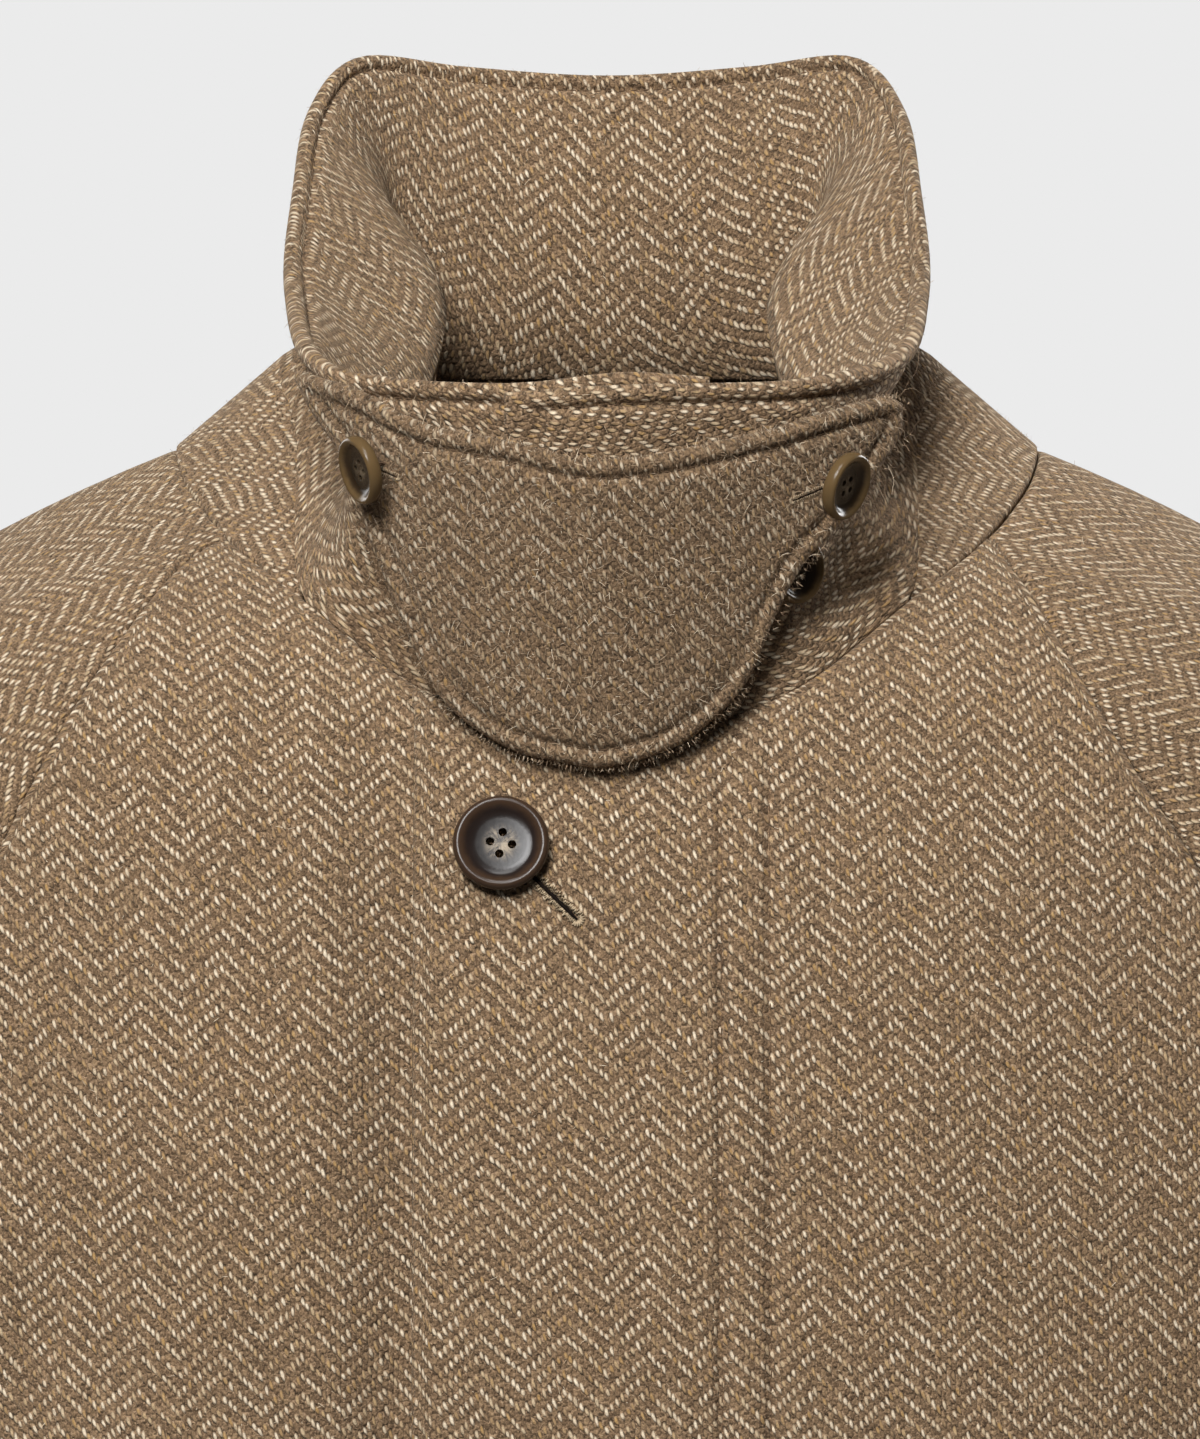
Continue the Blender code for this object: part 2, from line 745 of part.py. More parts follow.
def hole_cutter(name, diameter, group):
    """Four pins that cut the sewing holes of one button."""
    shape = bmesh.new()
    for quarter in range(4):
        angle = math.radians(45.0 + 90.0 * quarter)
        place = Vector((math.cos(angle), math.sin(angle), 0)) * diameter * HOLE_CIRCLE
        place.z = BUTTON_THICKNESS / 2
        bmesh.ops.create_cone(
            shape,
            cap_ends=True,
            segments=8,
            radius1=diameter * HOLE_SIZE * MM,
            radius2=diameter * HOLE_SIZE * MM,
            depth=BUTTON_THICKNESS * 2 * MM,
            matrix=Matrix.Translation(place * MM),
        )
    mesh = bpy.data.meshes.new(name)
    shape.to_mesh(mesh)
    shape.free()
    cutter = bpy.data.objects.new(name, mesh)
    cutter.hide_render = True
    cutter.display_type = "WIRE"
    group.objects.link(cutter)
    return cutter


def chest_point(x, z):
    """The left front near the closing edge, by place seen from the front."""
    return form_point(x, z, -1)


def tab_face(x, z):
    """The tab's outer face, by place seen from the front."""
    return Vector((x, tab_depth(x, z), z))


def button_frame(button):
    """Where the button's back lies on its cloth and how it is turned."""
    surface = {"front": chest_point, "tab": tab_face, "fall": fall_point}[button.cloth]
    step = 0.01
    middle = surface(button.across, button.down)
    across = surface(button.across + step, button.down) - middle
    down = surface(button.across, button.down + step) - middle
    out = across.cross(down).normalized()
    if out.y > 0:
        out.negate()
    lift = out * button.lift
    out = Matrix.Rotation(math.radians(button.lean), 3, "Z") @ out
    right = Vector((0, 0, 1)).cross(out).normalized()
    out = Matrix.Rotation(math.radians(button.droop), 3, right) @ out
    up = out.cross(right)
    frame = Matrix((right, up, out)).transposed().to_4x4()
    frame.translation = (middle + lift) * MM
    return frame @ Matrix.Rotation(math.radians(button.turn), 4, "Z")


def make_buttons(horn, group, cutters):
    for button in BUTTONS:
        disc = turned_disc(button.name, button_profile(button.diameter / 2), horn, group)
        cutter = hole_cutter(button.name + "_holes", button.diameter, cutters)
        for thing in (disc, cutter):
            thing.matrix_world = button_frame(button)
        cut = disc.modifiers.new("Holes", "BOOLEAN")
        cut.operation = "DIFFERENCE"
        cut.solver = "EXACT"
        cut.object = cutter


def main():
    clear_scene()
    group = collection("raglan_coat")
    cutters = collection("cutters")
    tweed = material("tweed", TWEED_BROWN, 0.9)
    horn = material("horn", HORN_BROWN, 0.3)
    make_fronts(tweed, group)
    make_back(tweed, group)
    make_sleeves(tweed, group)
    make_collar(tweed, group)
    make_tab(tweed, group)
    make_buttons(horn, group, cutters)


main()
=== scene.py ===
"""The looks of a raglan coat worn by nobody: tweed shells on the form of its solids, with
weave, seams, stitching, buttons and nap. Only the shoulders of the sleeves leave that form: they are
round, where the solids have a trough along the shoulder seam.

Sizes are in millimetres unless a name says otherwise. The origin is between the two neck points of
the shoulders. X runs to the wearer's left, Y to the wearer's back and Z up.
"""

import json
import math
import random
from collections import namedtuple

import bmesh
import bpy
import numpy as np
from mathutils import Matrix, Vector

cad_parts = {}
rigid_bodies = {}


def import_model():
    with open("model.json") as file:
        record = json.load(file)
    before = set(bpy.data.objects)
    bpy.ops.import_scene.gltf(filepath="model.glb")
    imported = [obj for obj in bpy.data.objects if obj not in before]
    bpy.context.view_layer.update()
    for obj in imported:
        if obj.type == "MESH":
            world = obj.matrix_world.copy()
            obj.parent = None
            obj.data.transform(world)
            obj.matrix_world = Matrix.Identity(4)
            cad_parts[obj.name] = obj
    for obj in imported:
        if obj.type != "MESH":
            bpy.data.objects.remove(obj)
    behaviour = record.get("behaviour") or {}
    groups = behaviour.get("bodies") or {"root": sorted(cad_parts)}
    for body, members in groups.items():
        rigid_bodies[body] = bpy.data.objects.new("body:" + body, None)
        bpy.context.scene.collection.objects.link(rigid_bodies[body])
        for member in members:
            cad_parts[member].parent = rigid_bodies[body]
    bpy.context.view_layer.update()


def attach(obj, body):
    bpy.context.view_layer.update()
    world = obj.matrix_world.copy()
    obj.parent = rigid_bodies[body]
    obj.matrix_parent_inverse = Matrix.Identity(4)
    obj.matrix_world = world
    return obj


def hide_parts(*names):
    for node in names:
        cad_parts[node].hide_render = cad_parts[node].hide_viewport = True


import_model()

MM = 0.001

# Walls and seams
STAND_WALL = 3.0
FALL_WALL = 4.5
TAB_WALL = 4.4
SEAM_GAP = 0.4
RAGLAN_GAP = 0.9
LAP_DEPTH = 4.6
LAP_START = 23.0
LAP_REACH = 17.0
COLLAR_LAP_DEPTH = 5.6
COLLAR_LAP_RISE = 3.5

# Neck, chest and arm
NECK_HALF_WIDTH = 100.0
CHEST_LEVEL = -290.0
CHEST_HALF_WIDTH = 205.0
HEM_LEVEL = -1040.0
FRONT_EDGE_X = -43.0
UNDER_EDGE_X = 2.0
RAGLAN_TOP_X = 86.5
BACK_RAGLAN_TOP_X = 62.0
ROUNDNESS = 2.4
SIDE_ANGLE = 89.94
NECK_SHARE = 0.2
SHOULDER_SHARE = 0.48
SHOULDER_TOP_SHARE = 0.06
SLEEVE_EDGE = 0.002
FRONT_COLUMN = 4.2
BACK_COLUMN = 5.0

# The figure's outline level by level: half width, depth to the front and to the back, middle
Form = namedtuple("Form", "z half_width front back middle")
FORM = (
    Form(0.0, 100.0, 30.0, 56.0, 2.0),
    Form(-4.0, 109.0, 36.0, 64.0, 2.0),
    Form(-20.0, 145.0, 55.0, 80.0, 2.0),
    Form(-31.0, 170.0, 70.0, 88.0, 2.0),
    Form(-50.0, 208.0, 85.0, 98.0, 1.0),
    Form(-63.0, 222.0, 92.0, 103.0, 1.0),
    Form(-92.0, 234.0, 101.0, 113.0, 0.0),
    Form(-150.0, 238.0, 114.0, 125.0, 0.0),
    Form(-230.0, 224.0, 126.0, 132.0, 0.0),
    Form(-290.0, 205.0, 132.0, 134.0, 0.0),
    Form(-520.0, 214.0, 140.0, 140.0, 0.0),
    Form(-760.0, 234.0, 158.0, 160.0, 0.0),
    Form(-1040.0, 260.0, 182.0, 188.0, 0.0),
)

# The neck seam's height, by the angle round the neck from the centre back
Neck = namedtuple("Neck", "angle z")
NECK = (
    Neck(0.0, -4.0),
    Neck(17.5, -4.0),
    Neck(38.3, -3.0),
    Neck(58.2, -1.5),
    Neck(90.0, 0.0),
    Neck(109.1, -11.0),
    Neck(120.1, -20.0),
    Neck(137.2, -34.0),
    Neck(154.5, -53.0),
    Neck(167.3, -61.0),
    Neck(180.0, -65.0),
)

# The raglan seams as seen from the front or the back, from the neck down to the underarm
Seam = namedtuple("Seam", "x z")
RAGLAN_LEFT = (
    Seam(86.5, -20.0),
    Seam(94.1, -30.2),
    Seam(103.0, -46.0),
    Seam(117.9, -72.1),
    Seam(132.0, -94.4),
    Seam(156.0, -145.0),
    Seam(178.0, -196.0),
    Seam(195.0, -245.0),
    Seam(201.5, -270.0),
    Seam(204.3, -283.0),
    Seam(205.0, -290.0),
)
RAGLAN_RIGHT = (
    Seam(86.5, -20.0),
    Seam(91.5, -22.4),
    Seam(98.0, -27.8),
    Seam(105.3, -37.0),
    Seam(120.1, -59.5),
    Seam(135.1, -89.1),
    Seam(158.0, -142.0),
    Seam(179.0, -195.0),
    Seam(195.0, -245.0),
    Seam(201.5, -270.0),
    Seam(204.3, -283.0),
    Seam(205.0, -290.0),
)
RAGLAN_BACK = (
    Seam(62.0, -3.0),
    Seam(80.0, -28.0),
    Seam(105.0, -70.0),
    Seam(135.0, -125.0),
    Seam(160.0, -175.0),
    Seam(182.0, -220.0),
    Seam(197.0, -260.0),
    Seam(203.5, -280.0),
    Seam(205.0, -290.0),
)

# Hanging folds of the skirt: place round the body from the centre front, depth and half spread
Fold = namedtuple("Fold", "angle depth spread start")
SKIRT_FOLDS = (
    Fold(-152.0, 10.0, 17.0, -430.0),
    Fold(-112.0, 9.0, 15.0, -360.0),
    Fold(-74.0, -8.0, 14.0, -380.0),
    Fold(-46.0, 7.0, 13.0, -520.0),
    Fold(58.0, 7.0, 14.0, -470.0),
    Fold(84.0, -8.0, 14.0, -350.0),
    Fold(118.0, 10.0, 16.0, -400.0),
    Fold(160.0, 8.0, 16.0, -470.0),
)

# The arm from just below the underarm to the cuff: middle, half width and half depth
Arm = namedtuple("Arm", "at x y z across deep")
ARM = (
    Arm(0.0, 270.0, 4.0, -340.0, 55.0, 75.0),
    Arm(0.35, 286.0, 2.0, -455.0, 52.0, 68.0),
    Arm(0.6, 295.0, -6.0, -535.0, 50.0, 62.0),
    Arm(1.0, 306.0, -28.0, -668.0, 46.0, 55.0),
)

# How steeply the sleeve's cloth leaves its upper edge, from the shoulder seam round to the underarm
Leaving = namedtuple("Leaving", "share slope")
LEAVING = (
    Leaving(0.0, 21.5),
    Leaving(0.06, 20.0),
    Leaving(0.2, 14.0),
    Leaving(0.35, 22.0),
    Leaving(0.5, 32.0),
    Leaving(0.7, 36.0),
    Leaving(0.85, 20.0),
    Leaving(1.0, 0.0),
)

# Creases of the sleeve at the bend of the elbow: place along, place round, depth and slant
Crease = namedtuple("Crease", "along round depth slant")
ELBOW_CREASES = (
    Crease(0.30, 0.66, -5.0, 0.16),
    Crease(0.47, 0.72, -6.0, -0.10),
    Crease(0.60, 0.60, -4.5, 0.12),
)
CREASE_LENGTH = 0.05
CREASE_REACH = 0.24

# The collar from the centre back to its front end: angle on the neck seam, then the
# points at the fall's lower edge, its waist and its upper edge
Collar = namedtuple("Collar", "at angle lower waist upper")
COLLAR = (
    Collar(0, 0.0, (0, 48, 20), (0, 44, 53), (0, 54, 88)),
    Collar(1, 20.5, (26, 47, 20), (28, 43, 54), (34, 53, 90)),
    Collar(2, 42.0, (50, 42, 20), (52, 38, 58), (60, 43, 92)),
    Collar(3, 62.0, (68, 29, 21), (54, 24, 51), (71, 25, 79)),
    Collar(4, 88.0, (77, 8, 20), (42, 3, 34), (74, 3, 58)),
    Collar(5, 108.0, (71, -18, 4), (45, -22, 13), (75, -23, 35.5)),
    Collar(6, 137.2, None, (59, -66, -9), (68, -66, 20)),
    Collar(7, 154.5, None, (43, -86, -20), (45, -91, 14.5)),
    Collar(8, 180.0, None, (0, -98, -27), (0, -104, 13)),
    Collar(8.5, 193.3, None, (-23, -96, -27), (-23, -101, 11.5)),
)
STAND_TIP = 6
COLLAR_END = 8.5
COLLAR_PLACE_LENGTH = 25.0

# The hollow in the fall behind the left end of the tab: middle, half width and depth
HOLLOW_PLACE = 6.3
HOLLOW_REACH = 0.9
HOLLOW_DEPTH = 12.0

# The throat tab seen from the front: upper and lower edge, from its right end to its left
Tab = namedtuple("Tab", "x upper lower")
TAB = (
    Tab(-71.0, 17.0, 14.6),
    Tab(-67.6, 15.9, 8.0),
    Tab(-59.5, 13.2, -3.4),
    Tab(-57.0, 12.2, -9.0),
    Tab(-54.5, 11.0, -19.2),
    Tab(-51.0, 9.0, -28.0),
    Tab(-48.7, 7.6, -33.7),
    Tab(-39.0, 3.9, -54.6),
    Tab(-23.7, 1.0, -66.7),
    Tab(-9.3, -2.6, -70.6),
    Tab(0.0, -3.3, -71.5),
    Tab(12.9, -1.9, -68.0),
    Tab(20.5, -0.4, -63.8),
    Tab(31.6, 2.0, -52.6),
    Tab(38.0, 3.6, -38.0),
    Tab(44.3, 5.5, -26.4),
    Tab(50.8, 7.5, -19.8),
    Tab(56.0, 9.0, -13.4),
    Tab(63.8, 10.7, -2.0),
    Tab(67.0, 9.4, 3.0),
)
TAB_FRONT_TOP = -111.5
TAB_FRONT_BOTTOM = -100.0
TAB_TOP_LEVEL = 0.0
TAB_BOTTOM_LEVEL = -71.5
TAB_DEPTH = 78.0
TAB_HALF_WIDTH_RIGHT = 81.0
TAB_HALF_WIDTH_LEFT = 86.0

# Buttons: the cloth they lie on, their place on it, their distance from it, how far they
# lean aside and droop on their thread, their size and their turn
Button = namedtuple("Button", "name cloth across down lift lean droop diameter turn")
BUTTONS = (
    Button("front_button", "front", -23.4, -88.6, 1.2, 0.0, 0.0, 21.4, 37.0),
    Button("tab_button_right", "tab", -50.6, -4.4, 4.0, -25.0, 8.0, 15.6, 30.0),
    Button("tab_button_left", "tab", 49.2, -7.8, 4.2, 25.0, 10.0, 15.6, 20.0),
    Button("collar_button", "fall", 7.06, 0.40, 0.5, 0.0, 0.0, 15.6, 5.0),
)
BUTTON_THICKNESS = 3.4
HOLE_CIRCLE = 0.115
HOLE_SIZE = 0.045
HORN_DRAWN_AT = 21.4


# Finer sizes of the cloth as it shows
SHELL_WALL = 1.3
SEAM_ROUND = 1.7
SEAM_TURN = 2.6
SEAM_MEET = 0.42
SLEEVE_NECK_MEET = 0.95
FALL_MEET = 1.8
STAND_MEET_LOW = 1.2
STAND_MEET_HIGH = 1.5
FOLD_ROUND = 1.5
FOLD_RETURN = 26.0
HEM_RETURN = 40.0
HEM_ROWS = 5
HEM_SEAM_SHARE = 0.02
EDGE_ROUND = 1.9
SEAM_EDGE_ROUND = 0.9
STITCH_INSET = 4.1
STITCH_PINCH = 0.55
STITCH_WIDTH = 0.9
STITCH_PITCH = 2.9
FLY_STITCH_PITCH = 3.0
STITCH_RADIUS = 0.17

# Distances from a stitched edge and from a tight seam at which the cloth's thickness is set
EDGE_STEPS = (0.0, 0.12, 0.4, 0.9, 1.5, 2.2, 2.9, 3.4, 3.8, 4.1, 4.5, 5.0, 5.8, 7.2)
SEAM_STEPS = (0.0, 0.08, 0.3, 0.6, 0.95, 1.9, 3.2)

# Weave: a two and two twill that turns back every eight ends
END_PITCH = 1.14
PICK_PITCH = 1.02
STRIPE_ENDS = 8
DASH_LEAN = 0.27
DASH_HALF_WIDTH = 0.42
DASH_HALF_LENGTH = 1.02
SLEEVE_GRAIN_LEAN = 10.0
FLATTEN_ROUNDS = 30
SKIRT_GRAIN_START = 120.0
SKIRT_GRAIN_REACH = 140.0

# Fly stitching on the left front
FLY_LINES = (25.2, 36.0)
FLY_TOPS = (-78.0, -70.0)
FLY_GROOVE_WIDTH = 1.3
FLY_GROOVE_DEPTH = 1.9

# How the right front sinks beside the folded edge of the left front
EDGE_DIP_DEPTH = 5.0
EDGE_DIP_REACH = 15.0
EDGE_DIP_TOP = -80.0
EDGE_DIP_END = -900.0

# The slanted buttonholes: the cloth they are in, and their two ends as seen from the front
Hole = namedtuple("Hole", "cloth start_x start_z end_x end_z")
BUTTONHOLES = (
    Hole("front", -25.0, -87.0, -6.6, -104.6),
    Hole("tab", -59.0, -1.4, -46.5, -7.0),
    Hole("tab", 58.0, -5.2, 41.0, -12.2),
)

# Loose fibres
FIBRE_WIDTH = 0.10
LONG_FIBRES = 22
TAB_EDGE_FIBRES = 3200
DENSE_ABOVE = -260.0
FIBRE_SEED = 7
BUTTONHOLE_SEED = 5
Fuzz = namedtuple("Fuzz", "piece count longest")
FUZZ = (
    Fuzz("front_left", 14000, 1.6),
    Fuzz("front_right", 11000, 1.6),
    Fuzz("back", 4000, 1.6),
    Fuzz("sleeve_left_front", 5000, 1.6),
    Fuzz("sleeve_left_back", 2000, 1.6),
    Fuzz("sleeve_right_front", 5000, 1.6),
    Fuzz("sleeve_right_back", 2000, 1.6),
    Fuzz("collar_fall", 16000, 2.0),
    Fuzz("collar_stand", 5000, 1.6),
    Fuzz("throat_tab", 15000, 3.0),
)

# Soft creases seen from the front or the back: middle, half length, half width, depth and lean
Soft = namedtuple("Soft", "x z length width depth lean")
FRONT_CREASES = (
    Soft(-92.0, -200.0, 100.0, 17.0, 2.2, 6.0),
    Soft(-135.0, -215.0, 70.0, 13.0, -2.2, 28.0),
    Soft(-30.0, -84.0, 26.0, 12.0, -1.0, -50.0),
    Soft(62.0, -130.0, 70.0, 16.0, 1.1, -9.0),
    Soft(104.0, -180.0, 80.0, 14.0, -1.8, -24.0),
    Soft(146.0, -250.0, 60.0, 12.0, -2.6, -35.0),
    Soft(150.0, -420.0, 120.0, 16.0, -4.6, -14.0),
    Soft(-150.0, -400.0, 130.0, 15.0, -4.8, 17.0),
    Soft(90.0, -560.0, 170.0, 22.0, -5.0, 4.0),
    Soft(-100.0, -600.0, 150.0, 20.0, -4.6, -6.0),
    Soft(20.0, -820.0, 160.0, 24.0, 3.6, 3.0),
)
BACK_CREASES = (
    Soft(-74.0, -230.0, 130.0, 16.0, -4.8, 12.0),
    Soft(66.0, -260.0, 140.0, 18.0, -4.4, -9.0),
    Soft(8.0, -52.0, 60.0, 10.0, -1.8, 90.0),
    Soft(-20.0, -420.0, 160.0, 24.0, 4.0, 3.0),
    Soft(128.0, -360.0, 90.0, 14.0, -5.0, 30.0),
    Soft(-132.0, -380.0, 100.0, 13.0, -4.6, -26.0),
    Soft(60.0, -700.0, 210.0, 26.0, -5.4, 2.0),
    Soft(-70.0, -760.0, 200.0, 22.0, -5.0, -4.0),
)

# Creases of the sleeves: place along and round, half lengths along and round, depth and slant
Ruck = namedtuple("Ruck", "along round length reach depth slant")
SLEEVE_RUCKS = (
    Ruck(0.20, -0.45, 0.020, 0.30, -2.2, 0.10),
    Ruck(0.33, 0.62, 0.020, 0.26, -3.0, -0.10),
    Ruck(0.42, -0.70, 0.022, 0.24, -2.6, 0.14),
    Ruck(0.50, 0.55, 0.018, 0.22, -2.6, 0.12),
    Ruck(0.56, -0.50, 0.018, 0.20, 2.0, -0.12),
    Ruck(0.62, 0.66, 0.020, 0.28, -3.2, -0.14),
    Ruck(0.70, -0.62, 0.022, 0.26, -2.8, 0.08),
    Ruck(0.78, 0.58, 0.020, 0.22, -2.0, 0.12),
    Ruck(0.88, -0.40, 0.022, 0.30, -1.8, -0.06),
)

# Colours of the yarns, and how they are shared out among the floats, the weft and the fibres
CREAM = (0.84, 0.71, 0.53)
BEIGE = (0.58, 0.44, 0.275)
GOLD = (0.43, 0.26, 0.10)
TAN = (0.36, 0.24, 0.13)
BROWN = (0.21, 0.135, 0.073)
# Painted shade in the gaps between the yarns
GAP_SHADE = (0.036, 0.022, 0.011)
HAZE = (0.265, 0.164, 0.088, 1.0)
HAIR = (0.46, 0.31, 0.175, 1.0)
YARNS = (
    (0.0, BROWN),
    (0.07, TAN),
    (0.20, GOLD),
    (0.36, BEIGE),
    (0.95, CREAM),
)
WEFTS = (
    (0.0, (0.075, 0.046, 0.025)),
    (0.4, (0.14, 0.088, 0.048)),
    (0.8, (0.24, 0.155, 0.086)),
    (1.0, TAN),
)
GROUND = (
    (0.36, (0.050, 0.029, 0.016)),
    (0.50, (0.180, 0.112, 0.064)),
    (0.63, (0.36, 0.24, 0.145)),
)
FIBRES = (
    (0.0, (0.20, 0.13, 0.08)),
    (0.45, (0.34, 0.235, 0.145)),
    (0.8, (0.50, 0.37, 0.24)),
    (1.0, CREAM),
)

# Camera: the picture's size in pixels, its scale at the target and the target's place
PICTURE_WIDTH = 1200
PIXELS_PER_MM = 4.43
CAMERA_DISTANCE = 2000.0
CAMERA_ELEVATION = 1.5
CAMERA_TARGET = (-1.58, -60.0, -61.6)
SENSOR_WIDTH = 36.0

# Floor and surround: how bright they show, and how little the surround lights the coat
FLOOR_LEVEL = -1450.0
SURROUND_SHOWN = 0.831
SURROUND_LIGHT = 0.05
FLOOR_SHOWN = 0.70
FLOOR_HALF = 16.0
FLOOR_SHADES = ((0.3, (0.19, 0.19, 0.19)), (0.7, (0.21, 0.21, 0.21)))

# Square area lights: place and size in metres, strength in watts
Light = namedtuple("Light", "name place size energy")
LIGHTS = (
    Light("key", (-0.65, -2.3, 1.4), 0.9, 90.0),
    Light("high", (-0.2, -1.6, 2.2), 0.9, 34.0),
    Light("back_left", (1.9, 1.6, 0.7), 1.2, 52.0),
    Light("back_right", (-1.7, 1.8, 0.5), 1.4, 26.0),
)
LIGHT_AIM = (0.0, -0.05, -0.15)


def read(rows, column, at):
    """One column of a table, read at any place along its first column as a smooth curve."""
    keys = [row[0] for row in rows]
    values = [getattr(row, column) for row in rows]
    if keys[0] > keys[-1]:
        keys.reverse()
        values.reverse()
    at = min(max(at, keys[0]), keys[-1])
    last = len(keys) - 1
    left = 0
    while left < last - 1 and at > keys[left + 1]:
        left += 1
    right = left + 1
    before = max(left - 1, 0)
    after = min(right + 1, last)
    width = keys[right] - keys[left]
    slope_left = (values[right] - values[before]) / (keys[right] - keys[before]) * width
    slope_right = (values[after] - values[left]) / (keys[after] - keys[left]) * width
    t = (at - keys[left]) / width
    return hermite(values[left], slope_left, values[right], slope_right, t)


def hermite(start, start_slope, end, end_slope, t):
    """A cubic from start to end with the given slopes, for numbers or points."""
    return (
        start * (2 * t**3 - 3 * t**2 + 1)
        + start_slope * (t**3 - 2 * t**2 + t)
        + end * (3 * t**2 - 2 * t**3)
        + end_slope * (t**3 - t**2)
    )


def ease(t):
    """A smooth step from 0 to 1."""
    t = min(max(t, 0.0), 1.0)
    return t * t * (3 - 2 * t)


def spread(start, end, count):
    """Evenly spaced places from start to end, both included."""
    return [start + (end - start) * step / count for step in range(count + 1)]


# The figure's form

def form_depth(x, z, face):
    """How far the form lies in front of its middle (face -1) or behind it (face 1)."""
    depth = read(FORM, "front" if face < 0 else "back", z)
    share = min(abs(x) / read(FORM, "half_width", z), 1.0)
    return depth * max(1.0 - share**ROUNDNESS, 0.0) ** (1.0 / ROUNDNESS)


def form_point(x, z, face):
    """The point of the form seen at x and z from the front or the back."""
    return Vector((x, read(FORM, "middle", z) + face * form_depth(x, z, face), z))


def form_excess(point):
    """Below 1 inside the form and above 1 outside it."""
    side = point.y - read(FORM, "middle", point.z)
    depth = read(FORM, "front" if side < 0 else "back", point.z)
    width = read(FORM, "half_width", point.z)
    return abs(point.x / width) ** ROUNDNESS + abs(side / depth) ** ROUNDNESS


def form_normal(point):
    """The way out of the form at a point on it."""
    step = 0.5
    slope = Vector((0, 0, 0))
    for axis in range(3):
        move = Vector((0, 0, 0))
        move[axis] = step
        slope[axis] = form_excess(point + move) - form_excess(point - move)
    return slope.normalized()


def neck_point(angle, side):
    """A point of the neck seam; side is 1 on the wearer's left and -1 on the right."""
    x = NECK_HALF_WIDTH * math.sin(math.radians(angle))
    face = 1 if angle < 90.0 else -1
    z = read(NECK, "z", angle if angle <= 180.0 else 360.0 - angle)
    return form_point(side * x, z, face)


def skirt_fold(angle, z):
    """How far the hanging folds push the skirt out, by the angle from the centre front."""
    push = 0.0
    for fold in SKIRT_FOLDS:
        away = abs((angle - fold.angle + 180.0) % 360.0 - 180.0) / fold.spread
        if away < 1.0:
            growth = ease((fold.start - z) / (fold.start - HEM_LEVEL))
            push += fold.depth * growth * math.cos(away * math.pi / 2) ** 2
    return push


# The body panels

def body_point(angle, z):
    """A point of the body below its seams; angle runs from the centre front to the left."""
    face = -1 if abs(angle) < 90.0 else 1
    share = abs(math.sin(math.radians(angle))) ** (2 / ROUNDNESS)
    x = math.copysign(share, angle) * CHEST_HALF_WIDTH
    if z < CHEST_LEVEL:
        x *= read(FORM, "half_width", z) / CHEST_HALF_WIDTH
    point = form_point(x, z, face)
    if z < CHEST_LEVEL:
        outward = Vector((point.x, point.y, 0)).normalized()
        point += outward * skirt_fold(angle, z)
    return point


def angle_of(x):
    """The angle from the centre front at which the chest stands at x."""
    share = min(abs(x) / CHEST_HALF_WIDTH, 1.0)
    return math.copysign(math.degrees(math.asin(share ** (ROUNDNESS / 2))), x)


def top_level(x, raglan, raglan_top_x, front):
    """The height of a panel's upper edge at x: the neck seam, then the raglan seam."""
    if abs(x) > raglan_top_x:
        return read(raglan, "z", abs(x)) - SEAM_GAP
    angle = math.degrees(math.asin(abs(x) / NECK_HALF_WIDTH))
    return read(NECK, "z", 180.0 - angle if front else angle) - SEAM_GAP


def front_point(angle, down):
    """The two fronts: angle below zero is the wearer's right."""
    x = math.copysign(abs(math.sin(math.radians(angle))) ** (2 / ROUNDNESS), angle)
    x *= CHEST_HALF_WIDTH
    raglan = RAGLAN_LEFT if x > 0 else RAGLAN_RIGHT
    top = top_level(x, raglan, RAGLAN_TOP_X, True)
    return body_point(angle, top + (HEM_LEVEL - top) * down)


def under_front_point(angle, down):
    """The right front, set back where the left front laps over it."""
    point = front_point(angle, down)
    point.y += LAP_DEPTH * ease((point.x - FRONT_EDGE_X + LAP_START) / LAP_REACH)
    return point


def back_point(angle, down):
    """The back, from one side seam through 180 degrees to the other."""
    x = abs(math.sin(math.radians(angle))) ** (2 / ROUNDNESS) * CHEST_HALF_WIDTH
    top = top_level(x, RAGLAN_BACK, BACK_RAGLAN_TOP_X, False)
    turned = angle if angle <= 180.0 else angle - 360.0
    return body_point(turned, top + (HEM_LEVEL - top) * down)


# The sleeves

def raglan_of(side, face):
    """The raglan seam of the wearer's left (side 1) or right, front (face -1) or back."""
    if face > 0:
        return RAGLAN_BACK
    return RAGLAN_LEFT if side > 0 else RAGLAN_RIGHT


def sleeve_seam(side, face, round_share):
    """The sleeve's upper edge, from the neck point of the shoulder to the underarm."""
    if round_share < NECK_SHARE:
        top_x = RAGLAN_TOP_X if face < 0 else BACK_RAGLAN_TOP_X
        reach = 90.0 - math.degrees(math.asin(top_x / NECK_HALF_WIDTH))
        share = (round_share - SLEEVE_EDGE) / (NECK_SHARE - SLEEVE_EDGE)
        point = neck_point(90.0 - face * reach * share, side)
        return point + Vector((0, face * SEAM_GAP * (1.0 - share), 0))
    raglan = raglan_of(side, face)
    along = math.sin((round_share - NECK_SHARE) / (1.0 - NECK_SHARE) * math.pi / 2)
    x = raglan[0].x + (raglan[-1].x - raglan[0].x) * along
    return form_point(side * x, read(raglan, "z", x), face)


def arm_point(side, face, round_share, at):
    """The sleeve below the underarm, with the creases of the elbow."""
    turn = math.pi * round_share
    push = sum(elbow_crease(crease, face, round_share, at) for crease in ELBOW_CREASES)
    across = read(ARM, "across", at) + push
    deep = read(ARM, "deep", at) + push
    return Vector((
        side * (read(ARM, "x", at) + across * math.cos(turn)),
        read(ARM, "y", at) + face * deep * math.sin(turn),
        read(ARM, "z", at),
    ))


